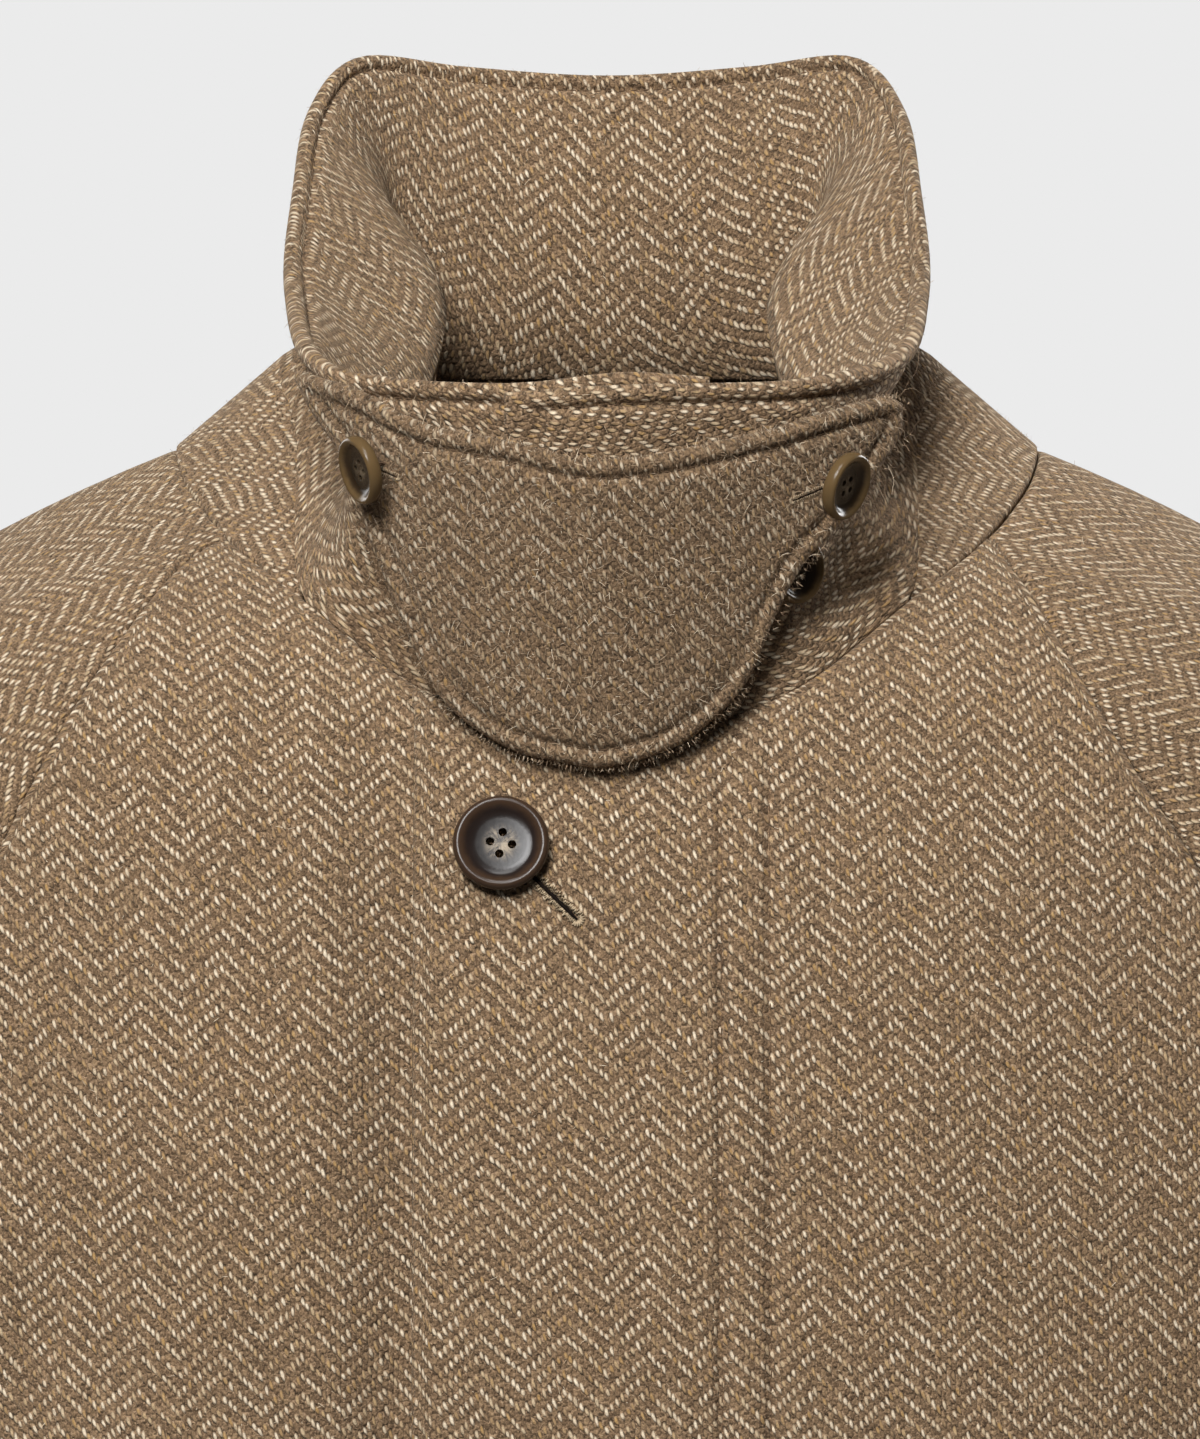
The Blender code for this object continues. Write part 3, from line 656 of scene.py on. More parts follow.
def elbow_crease(crease, face, round_share, at):
    """One crease: deepest on the front of the arm, fading round it."""
    place = round_share if face < 0 else -round_share
    middle = crease.along + crease.slant * (place - crease.round)
    off = (at - middle) / CREASE_LENGTH
    aside = (place - crease.round) / CREASE_REACH
    return crease.depth * math.exp(-off * off - aside * aside)


def sleeve_point(side, face, round_share, down):
    """A sleeve half: round_share from the shoulder seam to the underarm seam."""
    if down > SHOULDER_SHARE:
        at = (down - SHOULDER_SHARE) / (1.0 - SHOULDER_SHARE)
        return arm_point(side, face, round_share, at)
    start = sleeve_seam(side, face, round_share)
    end = arm_point(side, face, round_share, 0.0)
    out = form_normal(start)
    slope = math.radians(read(LEAVING, "slope", round_share))
    level = Vector((side * math.cos(slope), 0, -math.sin(slope)))
    flat = ease((round_share - SHOULDER_TOP_SHARE) / (NECK_SHARE - SHOULDER_TOP_SHARE))
    along = (level - out * level.dot(out) * flat).normalized()
    turned_out = ease((round_share - 0.35) / 0.65)
    leaving = (along * (1.0 - turned_out) + out * turned_out).normalized()
    arriving = arm_point(side, face, round_share, 0.05) - end
    length = (end - start).length
    start += off_seam(side, face, round_share, out) * RAGLAN_GAP
    return hermite(
        start,
        leaving * length * (1.3 - 0.5 * turned_out),
        end,
        arriving.normalized() * length,
        down / SHOULDER_SHARE,
    )


def off_seam(side, face, round_share, out):
    """The way from the sleeve's upper edge into the sleeve, lying on the form."""
    step = 0.004
    first = min(max(round_share - step, 0.0), 1.0 - 2 * step)
    if NECK_SHARE - 2 * step < first < NECK_SHARE:
        first = NECK_SHARE
    run = sleeve_seam(side, face, first + 2 * step) - sleeve_seam(side, face, first)
    return out.cross(run).normalized() * (-side * face)


# The collar

def through(points, at):
    """A smooth curve through points standing at the collar's places."""
    rows = [Vector(point) for point in points]
    places = [row.at for row in COLLAR]
    left = 0
    while left < len(rows) - 2 and at > places[left + 1]:
        left += 1
    right = left + 1
    if left == 0:
        before = Vector((-rows[1].x, rows[1].y, rows[1].z))
        before_place = -places[1]
    else:
        before = rows[left - 1]
        before_place = places[left - 1]
    after = rows[min(right + 1, len(rows) - 1)]
    after_place = places[min(right + 1, len(rows) - 1)]
    width = places[right] - places[left]
    slope_left = (rows[right] - before) * (width / (places[right] - before_place))
    slope_right = (after - rows[left]) * (width / (after_place - places[left]))
    t = (at - places[left]) / width
    return hermite(rows[left], slope_left, rows[right], slope_right, t)


def neck_angle(at):
    """The angle on the neck seam below a place of the collar."""
    return read(COLLAR, "angle", at)


def collar_neck(at):
    """The neck seam below a place of the collar, on the wearer's left."""
    point = neck_point(neck_angle(at), 1)
    return Vector((point.x, point.y, point.z + SEAM_GAP))


def fall_lower(at):
    """The lower edge of the fall: on the stand, then on the neck seam from the stand's end."""
    if at >= STAND_TIP:
        return collar_neck(at)
    return through([row.lower or collar_neck(row.at) for row in COLLAR], at)


def mirrored(point, side):
    """The same point on the wearer's left (side 1) or right (side -1)."""
    return Vector((side * point.x, point.y, point.z))


def stand_point(place, up):
    """The stand between the neck seam and the fall; place runs from the right to the left."""
    at = abs(place)
    low = collar_neck(at)
    high = fall_lower(at)
    room = max((high - low).length, 0.01)
    margin = min(2 * SEAM_GAP / room, 0.3)
    share = margin + (1.0 - 2.5 * margin) * up
    return mirrored(low.lerp(high, share), math.copysign(1, place))


def fall_point(place, up):
    """The fall, from its lower edge through its waist to its upper edge."""
    at = abs(place)
    low = fall_lower(at)
    waist = through([row.waist for row in COLLAR], at)
    high = through([row.upper for row in COLLAR], at)
    rising = waist - low
    if at < STAND_TIP:
        stand = (low - collar_neck(at)).normalized() * rising.length
        rising = stand.lerp(rising, ease(at - STAND_TIP + 1.0))
    if up < 0.5:
        point = hermite(low, rising, waist, (high - low) / 2, up * 2)
    else:
        point = hermite(waist, (high - low) / 2, high, (high - waist), up * 2 - 1)
    point = mirrored(point, math.copysign(1, place))
    if place < 0:
        point.y += COLLAR_LAP_DEPTH * ease((at - 6.2) / 0.55)
        point.z += COLLAR_LAP_RISE * ease((at - 7.5) / 0.7) * ease(up)
    else:
        point += Vector((-0.45, 0.9, 0)) * fall_hollow(at, up)
    return point


def fall_hollow(at, up):
    """How far the fall sinks in behind the left end of the tab."""
    share = max(1.0 - ((at - HOLLOW_PLACE) / HOLLOW_REACH) ** 2, 0.0)
    up = min(max(up, 0.0), 1.0)
    return HOLLOW_DEPTH * share * share * math.sin(math.pi * up**0.75) * ease(up / 0.3)


# The throat tab

def tab_depth(x, z):
    """How far forward the tab stands at x and z, bent round the front of the collar."""
    down = (z - TAB_TOP_LEVEL) / (TAB_BOTTOM_LEVEL - TAB_TOP_LEVEL)
    front = TAB_FRONT_TOP + (TAB_FRONT_BOTTOM - TAB_FRONT_TOP) * min(max(down, -0.2), 1.0)
    half_width = TAB_HALF_WIDTH_LEFT if x > 0 else TAB_HALF_WIDTH_RIGHT
    return front + TAB_DEPTH * (1.0 - math.sqrt(1.0 - (x / half_width) ** 2))


def tab_point(x, down):
    """The tab from its upper edge down to its lower edge."""
    upper = read(TAB, "upper", x)
    z = upper + (read(TAB, "lower", x) - upper) * down
    return Vector((x, tab_depth(x, z), z))


# Grids, edges and meshes

def grid_of(surface, across, down):
    """The points of a surface, a row for each place down and a column for each place across."""
    return np.array([[tuple(surface(place, level)) for place in across] for level in down])


def unit(ways):
    return ways / np.maximum(np.linalg.norm(ways, axis=-1, keepdims=True), 1e-9)


def normals_of(points):
    """The way out of the cloth at each point of a grid."""
    return unit(np.cross(np.gradient(points, axis=0), np.gradient(points, axis=1)))


def turn_edge(points, grain, side, radius, degrees, reach, meet=0.0, hem_rows=0):
    """Rounds one edge of a grid inwards, carries it on for a short reach and lets it meet its seam.

    The rows of a hem that is already turned up are hardly turned again.
    """
    if side in ("left", "right"):
        points = points.swapaxes(0, 1)
        grain = grain.swapaxes(0, 1)
        normal = normals_of(points.swapaxes(0, 1)).swapaxes(0, 1)
    else:
        normal = normals_of(points)
    if side in ("bottom", "right"):
        points, grain, normal = points[::-1], grain[::-1], normal[::-1]
    edge_way = unit(np.gradient(points[0], axis=0))
    out_way = points[0] - points[1]
    step = np.linalg.norm(out_way, axis=1, keepdims=True)
    out_way = unit(out_way - edge_way * (out_way * edge_way).sum(axis=1, keepdims=True))
    grain_way = (grain[0] - grain[1]) / np.maximum(step, 1e-6)
    base = points[0] - out_way * (np.minimum(radius, step * 0.6) - meet)
    turned = np.ones((len(base), 1))
    turned[len(base) - hem_rows:] = HEM_SEAM_SHARE
    lines = [base]
    grains = [grain[0]]
    for part in range(1, 5):
        turn = math.radians(degrees * part / 4)
        move = out_way * math.sin(turn) - normal[0] * (1.0 - math.cos(turn))
        lines.append(base + move * radius * turned)
        grains.append(grain[0] + grain_way * radius * turn)
    last = math.radians(degrees)
    carry = out_way * math.cos(last) - normal[0] * math.sin(last)
    lines.append(lines[-1] + carry * reach * turned)
    grains.append(grains[-1] + grain_way * reach)
    points = np.concatenate([np.array(lines[::-1]), points[1:]])
    grain = np.concatenate([np.array(grains[::-1]), grain[1:]])
    if side in ("bottom", "right"):
        points, grain = points[::-1], grain[::-1]
    if side in ("left", "right"):
        points = points.swapaxes(0, 1)
        grain = grain.swapaxes(0, 1)
    return points, grain


def quads(rows, columns):
    """The faces of a grid of points, facing out of the cloth."""
    faces = []
    for row in range(rows - 1):
        for column in range(columns - 1):
            corner = row * columns + column
            faces.append((corner, corner + columns, corner + columns + 1, corner + 1))
    return faces


def mesh_object(name, points, faces, grain, look):
    """One piece of the coat with its grain as texture coordinates, in metres."""
    mesh = bpy.data.meshes.new(name)
    mesh.from_pydata((np.asarray(points) * MM).tolist(), [], faces)
    layer = mesh.uv_layers.new(name="grain")
    corners = np.zeros(len(mesh.loops), dtype=np.int32)
    mesh.loops.foreach_get("vertex_index", corners)
    layer.data.foreach_set("uv", (np.asarray(grain)[corners] * MM).astype(np.float32).ravel())
    mesh.polygons.foreach_set("use_smooth", [True] * len(mesh.polygons))
    mesh.materials.append(look)
    piece = bpy.data.objects.new(name, mesh)
    bpy.context.scene.collection.objects.link(piece)
    return piece


def shell(name, points, grain, look):
    """A single layer of cloth with its thickness grown inwards."""
    rows, columns = points.shape[:2]
    piece = mesh_object(name, points.reshape(-1, 3), quads(rows, columns), grain.reshape(-1, 2), look)
    solid = piece.modifiers.new("Wall", "SOLIDIFY")
    solid.thickness = SHELL_WALL * MM
    solid.offset = -1.0
    return piece


def pillow(name, points, grain, thickness, wall, look):
    """Two layers of cloth sewn together round the edge; the points are its outer face."""
    thickness[[0, -1]] = 0.0
    thickness[:, [0, -1]] = 0.0
    normal = normals_of(points)
    middle = points - normal * wall / 2
    outer = middle + normal * thickness[..., None] / 2
    inner = middle - normal * thickness[..., None] / 2
    rows, columns = points.shape[:2]
    count = rows * columns
    faces = quads(rows, columns)
    faces += [tuple(count + corner for corner in reversed(face)) for face in quads(rows, columns)]
    both = np.concatenate([outer.reshape(-1, 3), inner.reshape(-1, 3)])
    grains = np.concatenate([grain.reshape(-1, 2), grain.reshape(-1, 2)])
    piece = mesh_object(name, both, faces, grains, look)
    shape = bmesh.new()
    shape.from_mesh(piece.data)
    bmesh.ops.remove_doubles(shape, verts=shape.verts, dist=0.00001)
    shape.to_mesh(piece.data)
    shape.free()
    return piece


def place(piece, node, slot):
    """The piece stands for a node: the node is hidden and the piece joins the root body."""
    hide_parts(node)
    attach(piece, "root")


# The grain of each cut piece

def girth(x, z, face):
    """The way round the figure from its middle line to x, along the cloth."""
    width = read(FORM, "half_width", z)
    depth = read(FORM, "front" if face < 0 else "back", z)
    share = min(abs(x) / width, 1.0)
    end = math.asin(share ** (ROUNDNESS / 2))
    length = 0.0
    last = (0.0, depth)
    for step in range(1, 13):
        turn = end * step / 12
        point = (
            width * math.sin(turn) ** (2 / ROUNDNESS),
            depth * math.cos(turn) ** (2 / ROUNDNESS),
        )
        length += math.dist(last, point)
        last = point
    return math.copysign(length, x)


def climb(x, z, face):
    """The way up the cloth from the chest line to z, at x."""
    if z <= CHEST_LEVEL:
        return z - CHEST_LEVEL
    length = 0.0
    last = form_point(x, CHEST_LEVEL, face)
    for step in range(1, 9):
        point = form_point(x, CHEST_LEVEL + (z - CHEST_LEVEL) * step / 8, face)
        length += math.hypot(point.y - last.y, point.z - last.z)
        last = point
    return length


def body_grain(points, face):
    """Grain upright along the middle line of the panel, true to the folds of the skirt below."""
    rows, columns = points.shape[:2]
    grain = np.zeros((rows, columns, 2))
    steps = np.linalg.norm(np.diff(points[..., :2], axis=1), axis=2)
    way_round = np.concatenate([np.zeros((rows, 1)), np.cumsum(steps, axis=1)], axis=1)
    for row in range(rows):
        middle = int(np.abs(points[row, :, 0]).argmin())
        start = girth(points[row, middle, 0], points[row, middle, 2], face) * -face
        for column in range(columns):
            x, _, z = points[row, column]
            plain = girth(x, z, face) * -face
            folded = start + way_round[row, column] - way_round[row, middle]
            skirt = ease((CHEST_LEVEL - SKIRT_GRAIN_START - z) / SKIRT_GRAIN_REACH)
            grain[row, column] = (plain + (folded - plain) * skirt, climb(x, z, face))
    return grain


def column_lengths(points, base_row):
    """The way along each column from a base row, growing towards the first row."""
    steps = np.linalg.norm(np.diff(points, axis=0), axis=2)
    length = np.concatenate([np.zeros((1, points.shape[1])), np.cumsum(steps, axis=0)])
    return length[base_row] - length


def flatten(piece, lower, upper, lean):
    """Lays a piece out flat as its grain, with the way between two of its points upright.

    The lean turns that way aside, in degrees.
    """
    bpy.context.view_layer.objects.active = piece
    piece.select_set(True)
    bpy.ops.object.mode_set(mode="EDIT")
    bpy.ops.mesh.select_all(action="SELECT")
    bpy.ops.uv.unwrap(method="MINIMUM_STRETCH", iterations=FLATTEN_ROUNDS, margin=0.0)
    bpy.ops.object.mode_set(mode="OBJECT")
    piece.select_set(False)
    mesh = piece.data
    layer = mesh.uv_layers["grain"].data
    flat = np.zeros(len(mesh.loops) * 2)
    layer.foreach_get("uv", flat)
    flat = flat.reshape(-1, 2)
    corners = np.zeros(len(mesh.loops), dtype=np.int32)
    mesh.loops.foreach_get("vertex_index", corners)
    at = np.zeros((len(mesh.vertices), 2))
    at[corners] = flat
    quad = flat.reshape(-1, 4, 2)
    one = quad[:, 2] - quad[:, 0]
    two = quad[:, 3] - quad[:, 1]
    flat_area = np.abs(one[:, 0] * two[:, 1] - one[:, 1] * two[:, 0]).sum() / 2
    size = math.sqrt(sum(polygon.area for polygon in mesh.polygons) / flat_area)
    rise = unit(at[upper] - at[lower])
    lean = math.radians(lean)
    rise = rise @ np.array(((math.cos(lean), -math.sin(lean)), (math.sin(lean), math.cos(lean))))
    turned = np.stack([flat[:, 0] * rise[1] - flat[:, 1] * rise[0], flat @ rise], axis=1)
    layer.foreach_set("uv", (turned * size).astype(np.float32).ravel())


def bent_grain(points, turn_rate, turn_end):
    """Grain upright at the middle of the back, turning along the collar as its cut bends."""
    middle_row = points.shape[0] // 2
    steps = np.linalg.norm(np.diff(points[middle_row], axis=0), axis=1)
    along = np.concatenate([[0.0], np.cumsum(steps)])
    along -= np.interp((len(along) - 1) / 2, np.arange(len(along)), along)
    heights = column_lengths(points, middle_row)
    turn = np.clip(along * turn_rate, -turn_end, turn_end)
    run = np.zeros((len(along), 2))
    for column in range(1, len(along)):
        way = math.radians((turn[column] + turn[column - 1]) / 2)
        step = along[column] - along[column - 1]
        run[column] = run[column - 1] + step * np.array((math.cos(way), -math.sin(way)))
    turn = np.radians(turn)
    grain = np.zeros(points.shape[:2] + (2,))
    grain[..., 0] = run[:, 0] + heights * np.sin(turn)
    grain[..., 1] = run[:, 1] + heights * np.cos(turn)
    return grain


# Relief of the cloth

def soft_creases(table, x, z):
    """How far the soft creases push the cloth out at x and z."""
    push = 0.0
    for crease in table:
        lean = math.radians(crease.lean)
        aside = (x - crease.x) * math.cos(lean) - (z - crease.z) * math.sin(lean)
        along = (x - crease.x) * math.sin(lean) + (z - crease.z) * math.cos(lean)
        reach = 1.0 - (along / crease.length) ** 2
        if reach > 0.0 and abs(aside) < 3 * crease.width:
            push += crease.depth * reach * reach * math.exp(-((aside / crease.width) ** 2))
    return push


def fly_grooves(x, z):
    """Two rows of stitching hold the fly behind the left front; the cloth puffs out beside them."""
    push = 0.0
    for line, top in zip(FLY_LINES, FLY_TOPS):
        away = (x - line) / FLY_GROOVE_WIDTH
        fade = ease((top + 4.0 - z) / 8.0)
        push -= FLY_GROOVE_DEPTH * fade * math.exp(-away * away)
        push += 0.8 * fade * math.exp(-(((x - line) - 4.5) / 2.6) ** 2)
    return push


def chest_x(x, z):
    """The place on the chest line from which a thread of the skirt comes down."""
    if z > CHEST_LEVEL:
        return x
    return x * CHEST_HALF_WIDTH / read(FORM, "half_width", z)


def edge_dip(x, z):
    """How far the right front sinks beside the folded edge of the left front."""
    fade = ease((EDGE_DIP_TOP - z) / 70.0) * ease((z - EDGE_DIP_END) / 200.0)
    return EDGE_DIP_DEPTH * fade * ease((x - FRONT_EDGE_X + EDGE_DIP_REACH) / EDGE_DIP_REACH)


def crease_front(point, left):
    """A point of a front with its creases; those of the left front fade towards its folded edge."""
    push = soft_creases(FRONT_CREASES, point.x, point.z)
    if left:
        push *= ease((point.x - FRONT_EDGE_X) / 18.0)
        push += fly_grooves(chest_x(point.x, point.z), point.z)
    else:
        push -= edge_dip(chest_x(point.x, point.z), point.z)
    if abs(point.x) < 150.0:
        return point + Vector((0, -push, 0))
    return point + form_normal(point) * push


def dressed_front(angle, down):
    return crease_front(front_point(angle, down), True)


def dressed_under_front(angle, down):
    return crease_front(under_front_point(angle, down), False)


def dressed_back(angle, down):
    point = back_point(angle, down)
    return point + Vector((0, soft_creases(BACK_CREASES, point.x, point.z), 0))


def dressed_sleeve(side, face, round_share, down):
    """A sleeve half with its finer creases, fading out at its seams."""
    point = sleeve_point(side, face, round_share, down)
    place_round = round_share if face < 0 else -round_share
    push = 0.0
    for ruck in SLEEVE_RUCKS:
        middle = ruck.along + ruck.slant * (place_round - ruck.round)
        off = (down - middle) / ruck.length
        aside = (place_round - ruck.round) / ruck.reach
        push += ruck.depth * math.exp(-off * off - aside * aside)
    push *= ease(down / 0.08)
    axis = Vector((side * read(ARM, "x", 0.0), read(ARM, "y", 0.0), point.z))
    outward = Vector((point.x - axis.x, point.y - axis.y, 0)).normalized()
    return point + outward * push


# The body

def body_rows():
    """Places down a panel, close together where the coat is seen near by."""
    upper = [0.26 * (step / 44) for step in range(44)]
    lower = spread(0.26, 1.0, 44)
    return upper + lower


def panel_angles(raglan, top_x, first_x, step):
    """Columns of a panel from a place near the middle to the side seam."""
    count = max(round((top_x - first_x) / step), 2)
    angles = [angle_of(x) for x in spread(first_x, top_x, count)]
    places = spread(top_x, raglan[-1].x, round((raglan[-1].x - top_x) / step))[1:-1]
    side = spread(angle_of(places[-1]), SIDE_ANGLE, 3)[1:]
    return angles + [angle_of(x) for x in places] + side


def finish_panel(points, grain, folded):
    """Turns in the edges of a body panel; a folded side is rolled right back."""
    points, grain = turn_edge(points, grain, "top", SEAM_ROUND, 90.0, SEAM_TURN, SEAM_MEET)
    points, grain = turn_edge(points, grain, "bottom", FOLD_ROUND, 180.0, HEM_RETURN)
    for side in ("left", "right"):
        if side == folded:
            turn = (FOLD_ROUND, 180.0, FOLD_RETURN, 0.0)
        else:
            turn = (SEAM_ROUND, 90.0, SEAM_TURN, SEAM_MEET)
        points, grain = turn_edge(points, grain, side, *turn, HEM_ROWS)
    return points, grain


def make_fronts(tweed):
    down = body_rows()
    across = set(panel_angles(RAGLAN_LEFT, RAGLAN_TOP_X, FRONT_EDGE_X, FRONT_COLUMN))
    for line in FLY_LINES:
        across.update(angle_of(x) for x in spread(line - 4.05, line + 4.05, 18))
    across = sorted(across)
    points = grid_of(dressed_front, across, down)
    points, grain = finish_panel(points, body_grain(points, -1), "left")
    left = shell("front_left_cloth", points, grain, tweed)
    place(left, "front_left", "tweed")
    across = panel_angles(RAGLAN_RIGHT, RAGLAN_TOP_X, -UNDER_EDGE_X, FRONT_COLUMN)
    across = [-angle for angle in across[::-1]]
    points = grid_of(dressed_under_front, across, down)
    points, grain = finish_panel(points, body_grain(points, -1) + (3.0, 5.0), "right")
    right = shell("front_right_cloth", points, grain, tweed)
    place(right, "front_right", "tweed")
    return left, right


def make_back(tweed):
    half = panel_angles(RAGLAN_BACK, BACK_RAGLAN_TOP_X, 0.0, BACK_COLUMN)
    across = [180.0 - angle for angle in half[::-1]] + [180.0 + angle for angle in half[1:]]
    points = grid_of(dressed_back, across, body_rows())
    points, grain = finish_panel(points, body_grain(points, 1), "none")
    back = shell("back_cloth", points, grain, tweed)
    place(back, "back", "tweed")
    return back


# The sleeves

def sleeve_shares(raglan):
    """Places round the sleeve, evenly spread along its neck edge and its raglan seam."""
    neck = spread(SLEEVE_EDGE, NECK_SHARE, 9)[:-1]
    seam = []
    for x in spread(raglan[0].x, raglan[-1].x, 34):
        along = (x - raglan[0].x) / (raglan[-1].x - raglan[0].x)
        seam.append(NECK_SHARE + (1.0 - NECK_SHARE) * math.asin(along) / (math.pi / 2))
    seam[-1] = 1.0 - SLEEVE_EDGE
    return neck + seam


def make_sleeves(tweed):
    upper_rows = 46
    down = spread(0.0, SHOULDER_SHARE, upper_rows) + spread(SHOULDER_SHARE, 1.0, 56)[1:]
    pieces = []
    for side, side_name in ((1, "left"), (-1, "right")):
        for face, face_name in ((-1, "front"), (1, "back")):
            shares = sleeve_shares(raglan_of(side, face))
            if side * face < 0:
                shares.reverse()

            def surface(round_share, along, side=side, face=face):
                return dressed_sleeve(side, face, round_share, along)

            points = grid_of(surface, shares, down)
            grain = np.zeros(points.shape[:2] + (2,))
            for edge in ("top", "left", "right"):
                meet = SLEEVE_NECK_MEET if edge == "top" and side < 0 else SEAM_MEET
                points, grain = turn_edge(points, grain, edge, SEAM_ROUND, 90.0, SEAM_TURN, meet)
            points, grain = turn_edge(points, grain, "bottom", FOLD_ROUND, 180.0, HEM_RETURN)
            name = f"sleeve_{side_name}_{face_name}"
            piece = shell(name + "_cloth", points, grain, tweed)
            columns = points.shape[1]
            elbow = (upper_rows + 40) * columns + columns // 2
            shoulder = upper_rows * columns + columns // 2
            flatten(piece, elbow, shoulder, SLEEVE_GRAIN_LEAN * side * face)
            place(piece, name, "tweed")
            pieces.append(piece)
    return pieces


# The collar and the throat tab

def sewn_profile(away, stitched):
    """The share of the full thickness at a distance from a turned edge, or from a tight seam."""
    radius = EDGE_ROUND if stitched else SEAM_EDGE_ROUND
    share = np.where(away < radius, np.sqrt(np.clip(1 - (1 - away / radius) ** 2, 0, 1)), 1.0)
    if stitched:
        share = share * (1.0 - STITCH_PINCH * np.exp(-(((away - STITCH_INSET) / STITCH_WIDTH) ** 2)))
    return share


def collar_places():
    """Places along the fall, close together at its two ends."""
    near = [COLLAR_END - step / COLLAR_PLACE_LENGTH for step in EDGE_STEPS]
    middle = spread(-near[-1], near[-1], 120)
    return [-place for place in near[:-1]] + middle + near[:-1][::-1]


def fall_length(place):
    points = [fall_point(place, up) for up in spread(0.0, 1.0, 12)]
    return sum((b - a).length for a, b in zip(points, points[1:]))


def make_fall(tweed):
    """The fall: lower edge sewn on, upper edge and ends stitched."""
    places = collar_places()
    columns = []
    to_top = []
    to_low = []
    for at in places:
        length = fall_length(at)
        low = list(SEAM_STEPS)
        high = [length - step for step in EDGE_STEPS[::-1]]
        levels = low + spread(low[-1], high[0], 16)[1:-1] + high
        lowered = [level - FALL_MEET * (1.0 - level / length) for level in levels]
        columns.append([tuple(fall_point(at, level / length)) for level in lowered])
        to_top.append([length - level for level in levels])
        to_low.append(levels)
    points = np.array(columns).swapaxes(0, 1)
    to_end = (COLLAR_END - np.abs(places)) * COLLAR_PLACE_LENGTH
    away = np.minimum(np.array(to_top).T, to_end[None, :])
    sewn_on = sewn_profile(np.array(to_low).T, False)
    thickness = FALL_WALL * np.minimum(sewn_profile(away, True), sewn_on)
    grain = bent_grain(points[::-1], 0.36, 80.0)[::-1]
    fall = pillow("collar_fall_cloth", points, grain, thickness, FALL_WALL, tweed)
    place(fall, "collar_fall", "tweed")
    return fall


def make_stand(tweed):
    last = STAND_TIP - 0.02
    places = spread(-last, last, 110)
    columns = []
    away = []
    for at in places:
        length = max((stand_point(at, 1.0) - stand_point(at, 0.0)).length, 0.4)
        steps = [min(step, length * 0.45 * step / SEAM_STEPS[-1]) for step in SEAM_STEPS]
        levels = steps + spread(steps[-1], length - steps[-1], 6)[1:-1]
        levels += [length - step for step in steps[::-1]]
        away.append([min(level, length - level) for level in levels])
        wider = (length + STAND_MEET_LOW + STAND_MEET_HIGH) / length
        shares = [level / length * wider - STAND_MEET_LOW / length for level in levels]
        columns.append([tuple(stand_point(at, share)) for share in shares])
    points = np.array(columns).swapaxes(0, 1)
    ends = (last - np.abs(places)) * 20.0
    thickness = STAND_WALL * sewn_profile(np.minimum(np.array(away).T, ends[None, :]), False)
    grain = bent_grain(points[::-1], -0.22, 40.0)[::-1]
    stand = pillow("collar_stand_cloth", points, grain, thickness, STAND_WALL, tweed)
    place(stand, "collar_stand", "tweed")
    return stand


def tab_outline():
    """The tab's edge as seen from the front, as a closed line of points."""
    xs = spread(TAB[0].x, TAB[-1].x, 160)
    upper = [(x, read(TAB, "upper", x)) for x in xs]
    lower = [(x, read(TAB, "lower", x)) for x in xs]
    return np.array(upper + lower[::-1])


def distance_to(outline, x, z):
    """The distance from a place to a closed line of points."""
    start = outline
    way = np.roll(outline, -1, axis=0) - start
    off = np.array((x, z)) - start
    share = np.clip((off * way).sum(axis=1) / np.maximum((way * way).sum(axis=1), 1e-9), 0, 1)
    return float(np.linalg.norm(off - way * share[:, None], axis=1).min())


def make_tab(tweed):
    outline = tab_outline()
    first, last = TAB[0].x, TAB[-1].x
    near = (0.0, 0.25, 0.7, 1.3, 2.0, 2.8, 3.4, 4.0, 4.6, 5.6, 7.0)
    xs = [first + step for step in near] + spread(first + 7.0, last - 7.0, 70)[1:-1]
    xs += [last - step for step in near[::-1]]
    columns = []
    away = []
    for x in xs:
        height = read(TAB, "upper", x) - read(TAB, "lower", x)
        room = min(1.0, height / (2 * EDGE_STEPS[-1] + 2.0))
        steps = [step * room for step in EDGE_STEPS]
        levels = steps + spread(steps[-1], height - steps[-1], 14)[1:-1]
        levels += [height - step for step in steps[::-1]]
        column = [tab_point(x, level / height) for level in levels]
        columns.append([tuple(point) for point in column])
        away.append([distance_to(outline, point.x, point.z) for point in column])
    points = np.array(columns).swapaxes(0, 1)
    thickness = TAB_WALL * sewn_profile(np.array(away).T, True)
    grain = np.zeros(points.shape[:2] + (2,))
    steps = np.linalg.norm(np.diff(points[points.shape[0] // 2], axis=0)[:, :2], axis=1)
    grain[..., 0] = np.concatenate([[0.0], np.cumsum(steps)])[None, :]
    grain[..., 1] = points[..., 2]
    tab = pillow("throat_tab_cloth", points, grain, thickness, TAB_WALL, tweed)
    place(tab, "throat_tab", "tweed")
    return tab


# Materials

